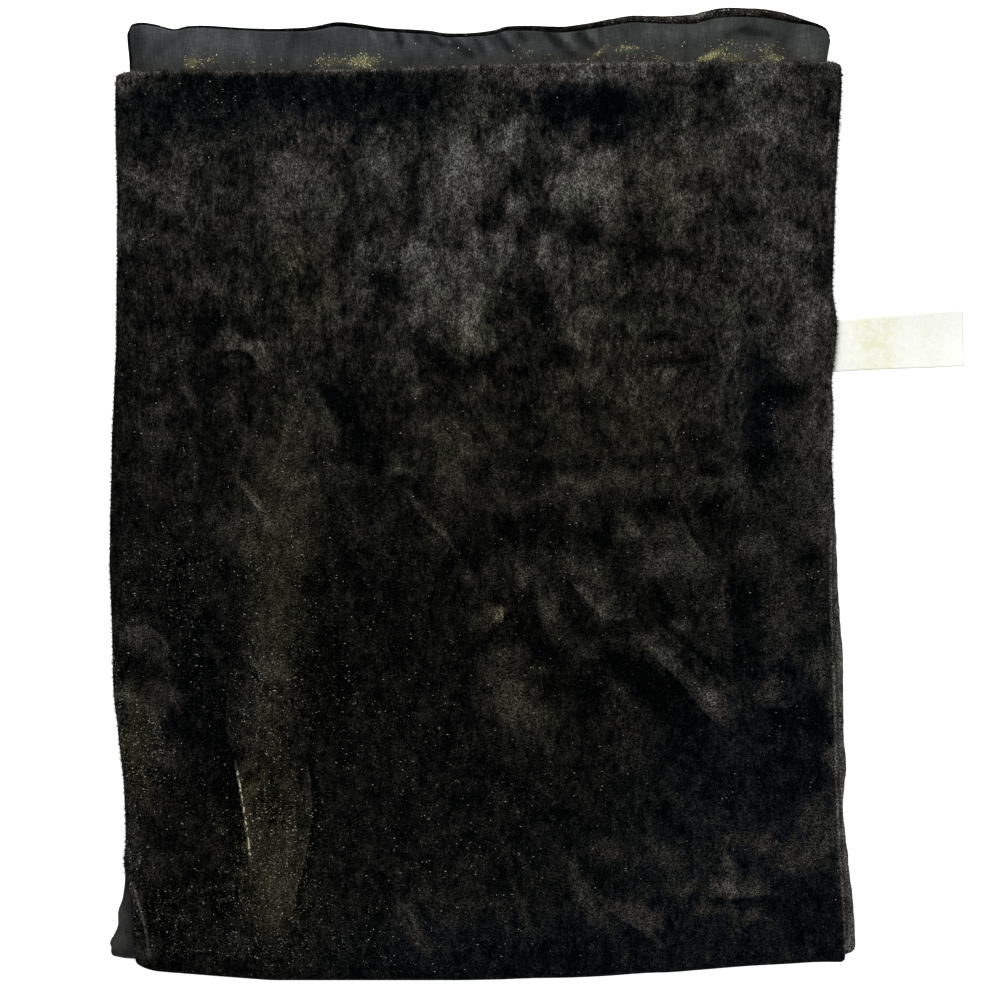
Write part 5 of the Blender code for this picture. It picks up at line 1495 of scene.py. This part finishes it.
def tuftMesh(draw):
    # A short run of loose pile: spikes that stand out along +Y from a line along X.
    spread = pileFringe["rootSpread"]
    body = bmesh.new()
    for _ in range(pileFringe["strandsPerTuft"]):
        length = draw.uniform(*pileFringe["length"])
        root = draw.uniform(-0.5, 0.5) * pileFringe["tuftSpan"]
        start = Vector((root, -pileFringe["rootDepth"], draw.uniform(-spread, spread)))
        heading = Vector((draw.gauss(0, pileFringe["lean"]), 1.0, draw.gauss(0, pileFringe["lean"])))
        turn = heading.to_track_quat("Z", "X").to_matrix().to_4x4()
        middle = start + heading.normalized() * length / 2
        bmesh.ops.create_cone(
            body, cap_ends=True, segments=3, radius1=pileFringe["thickness"] * mm, radius2=0.0,
            depth=length * mm, matrix=Matrix.Translation(middle * mm) @ turn,
        )
    mesh = bpy.data.meshes.new("tuft")
    body.to_mesh(mesh)
    body.free()
    return mesh


def edgeStations(points, step):
    # Evenly spaced places on a line of points, each with the direction that is outwards from it.
    points = np.array(points)
    lengths = np.concatenate([[0], np.cumsum(np.linalg.norm(np.diff(points, axis=0), axis=1))])
    stations = np.arange(step / 2, lengths[-1], step)
    line = np.column_stack([np.interp(stations, lengths, points[:, i]) for i in range(3)])
    ahead = np.gradient(line[:, :2], axis=0)
    return zip(line, np.arctan2(ahead[:, 1], ahead[:, 0]))


def makePileFringe():
    # Loose pile round the top layer's sides and sewn end, and down the side turn.
    draw = random.Random(pileFringe["seed"])
    tufts = [tuftMesh(draw) for _ in range(pileFringe["kinds"])]
    edges = []
    left, right = topVelvet["pileReach"]
    inset = pileFringe["sideInset"]
    for y in np.linspace(*pileFringe["leftRun"]):
        z = topMiddle - edgeDroop(topOutline["left"](y), y)
        edges.append((topOutline["left"](y) - left + inset, y, z))
    for x in np.linspace(*pileFringe["endRun"]):
        edges.append((x, topOutline["end"](x) - pileFringe["endInset"], topMiddle))
    for y in np.linspace(*pileFringe["rightRun"]):
        x = topOutline["right"](y)
        edges.append((x + right - inset, y, topMiddle + labelLift(x, y) - edgeDroop(x, y)))
    side = [
        (endOutline["right"](y) - pileFringe["turnInset"], y, pileFringe["turnHeight"])
        for y in np.linspace(*pileFringe["turnRun"])
    ]
    body = bmesh.new()
    nap, glint, warm = (body.verts.layers.float.new(word) for word in ("nap", "glint", "warm"))
    stations = [(*item, False) for item in edgeStations(edges, pileFringe["step"])]
    stations += [(*item, True) for item in edgeStations(side, pileFringe["step"])]
    for index, (place, heading, onTurn) in enumerate(stations):
        before = len(body.verts)
        body.from_mesh(tufts[index % len(tufts)])
        body.verts.ensure_lookup_table()
        fresh = body.verts[before:]
        move = Matrix.Translation(Vector(place) * mm) @ Matrix.Rotation(heading, 4, "Z")
        bmesh.ops.transform(body, matrix=move, verts=fresh)
        light = pileFringe["turnLight"]
        if not onTurn:
            light = float(topNapAndPaintedLight(*np.array(place[:2])[:, None])[0])
        for vertex in fresh:
            vertex[nap] = light
            vertex[glint] = 0.0
            vertex[warm] = pileFringe["warm"]
    mesh = bpy.data.meshes.new("pileFringe")
    body.to_mesh(mesh)
    body.free()
    return linkPiece("pileFringe", mesh, velvet)


label = {
    "length": 77.2,
    "width": (25.5, 27.9),  # at its hidden end and at its free end
    "wall": 0.4,
    "tilt": math.radians(4.05),
    "skew": 0.055,  # how far the free end leans, as a share of its width
    "reach": 211.7,
    "seat": 72.6,
    "seated": 10.85,
    "endHeight": 1.6,
    "columns": 90,
    "rows": 30,
    "dropStart": 12.0,
    "widens": (0.2, 0.8),  # from which share of its length, over how much
    "curl": 1.1,
    "waves": (0.35, 13.0, 2.2),  # height, size, seed
    "aged": [(1.0, 0.42, 0.16), (0.35, 0.8, 0.08)],  # how much, where along it, how far
}


def makeLabel():
    direction = np.array((math.cos(label["tilt"]), math.sin(label["tilt"])))
    aside = np.array((-direction[1], direction[0]))
    seatX = labelSeat["place"][0]
    rise = (label["reach"] - seatX) * math.tan(label["tilt"])
    endPoint = np.array((label["reach"], label["seat"] + rise))
    shares = np.linspace(0, 1, label["columns"])
    share, side = np.meshgrid(shares, np.linspace(-0.5, 0.5, label["rows"]))
    back = label["length"] * (1 - share)
    narrow, broad = label["width"]
    start, reach = label["widens"]
    width = narrow + (broad - narrow) * softStep((share - start) / reach)
    x = endPoint[0] - direction[0] * back + (aside[0] + label["skew"] * share) * width * side
    y = endPoint[1] - direction[1] * back + aside[1] * width * side
    run = label["length"] - label["dropStart"]
    fall = softStep((label["length"] * share - label["dropStart"]) / run)
    z = label["seated"] + (label["endHeight"] - label["seated"]) * fall
    height, size, seed = label["waves"]
    z = z + fall * (label["curl"] * side * side * 4 + height * clothNoise(x, y, size, seed))
    aged = sum(much * np.exp(-((share - at) / reach) ** 2) for much, at, reach in label["aged"])
    points = np.stack([x, y, z], axis=-1)
    piece = laySheet("wovenLabel", points, label["wall"], ribbon, None, {"aged": aged})
    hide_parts("woven_label")


makeLining()
print("lining is laid")
makeUnderVelvet()
print("lower layers are laid")
makeHemRoll()
makeSideTurn()
print("hem roll and side turn are made")
top = makeTopVelvet()
fringe = makePileFringe()
print("top layer is laid")
makeLabel()
print("label is made")

bpy.context.view_layer.update()
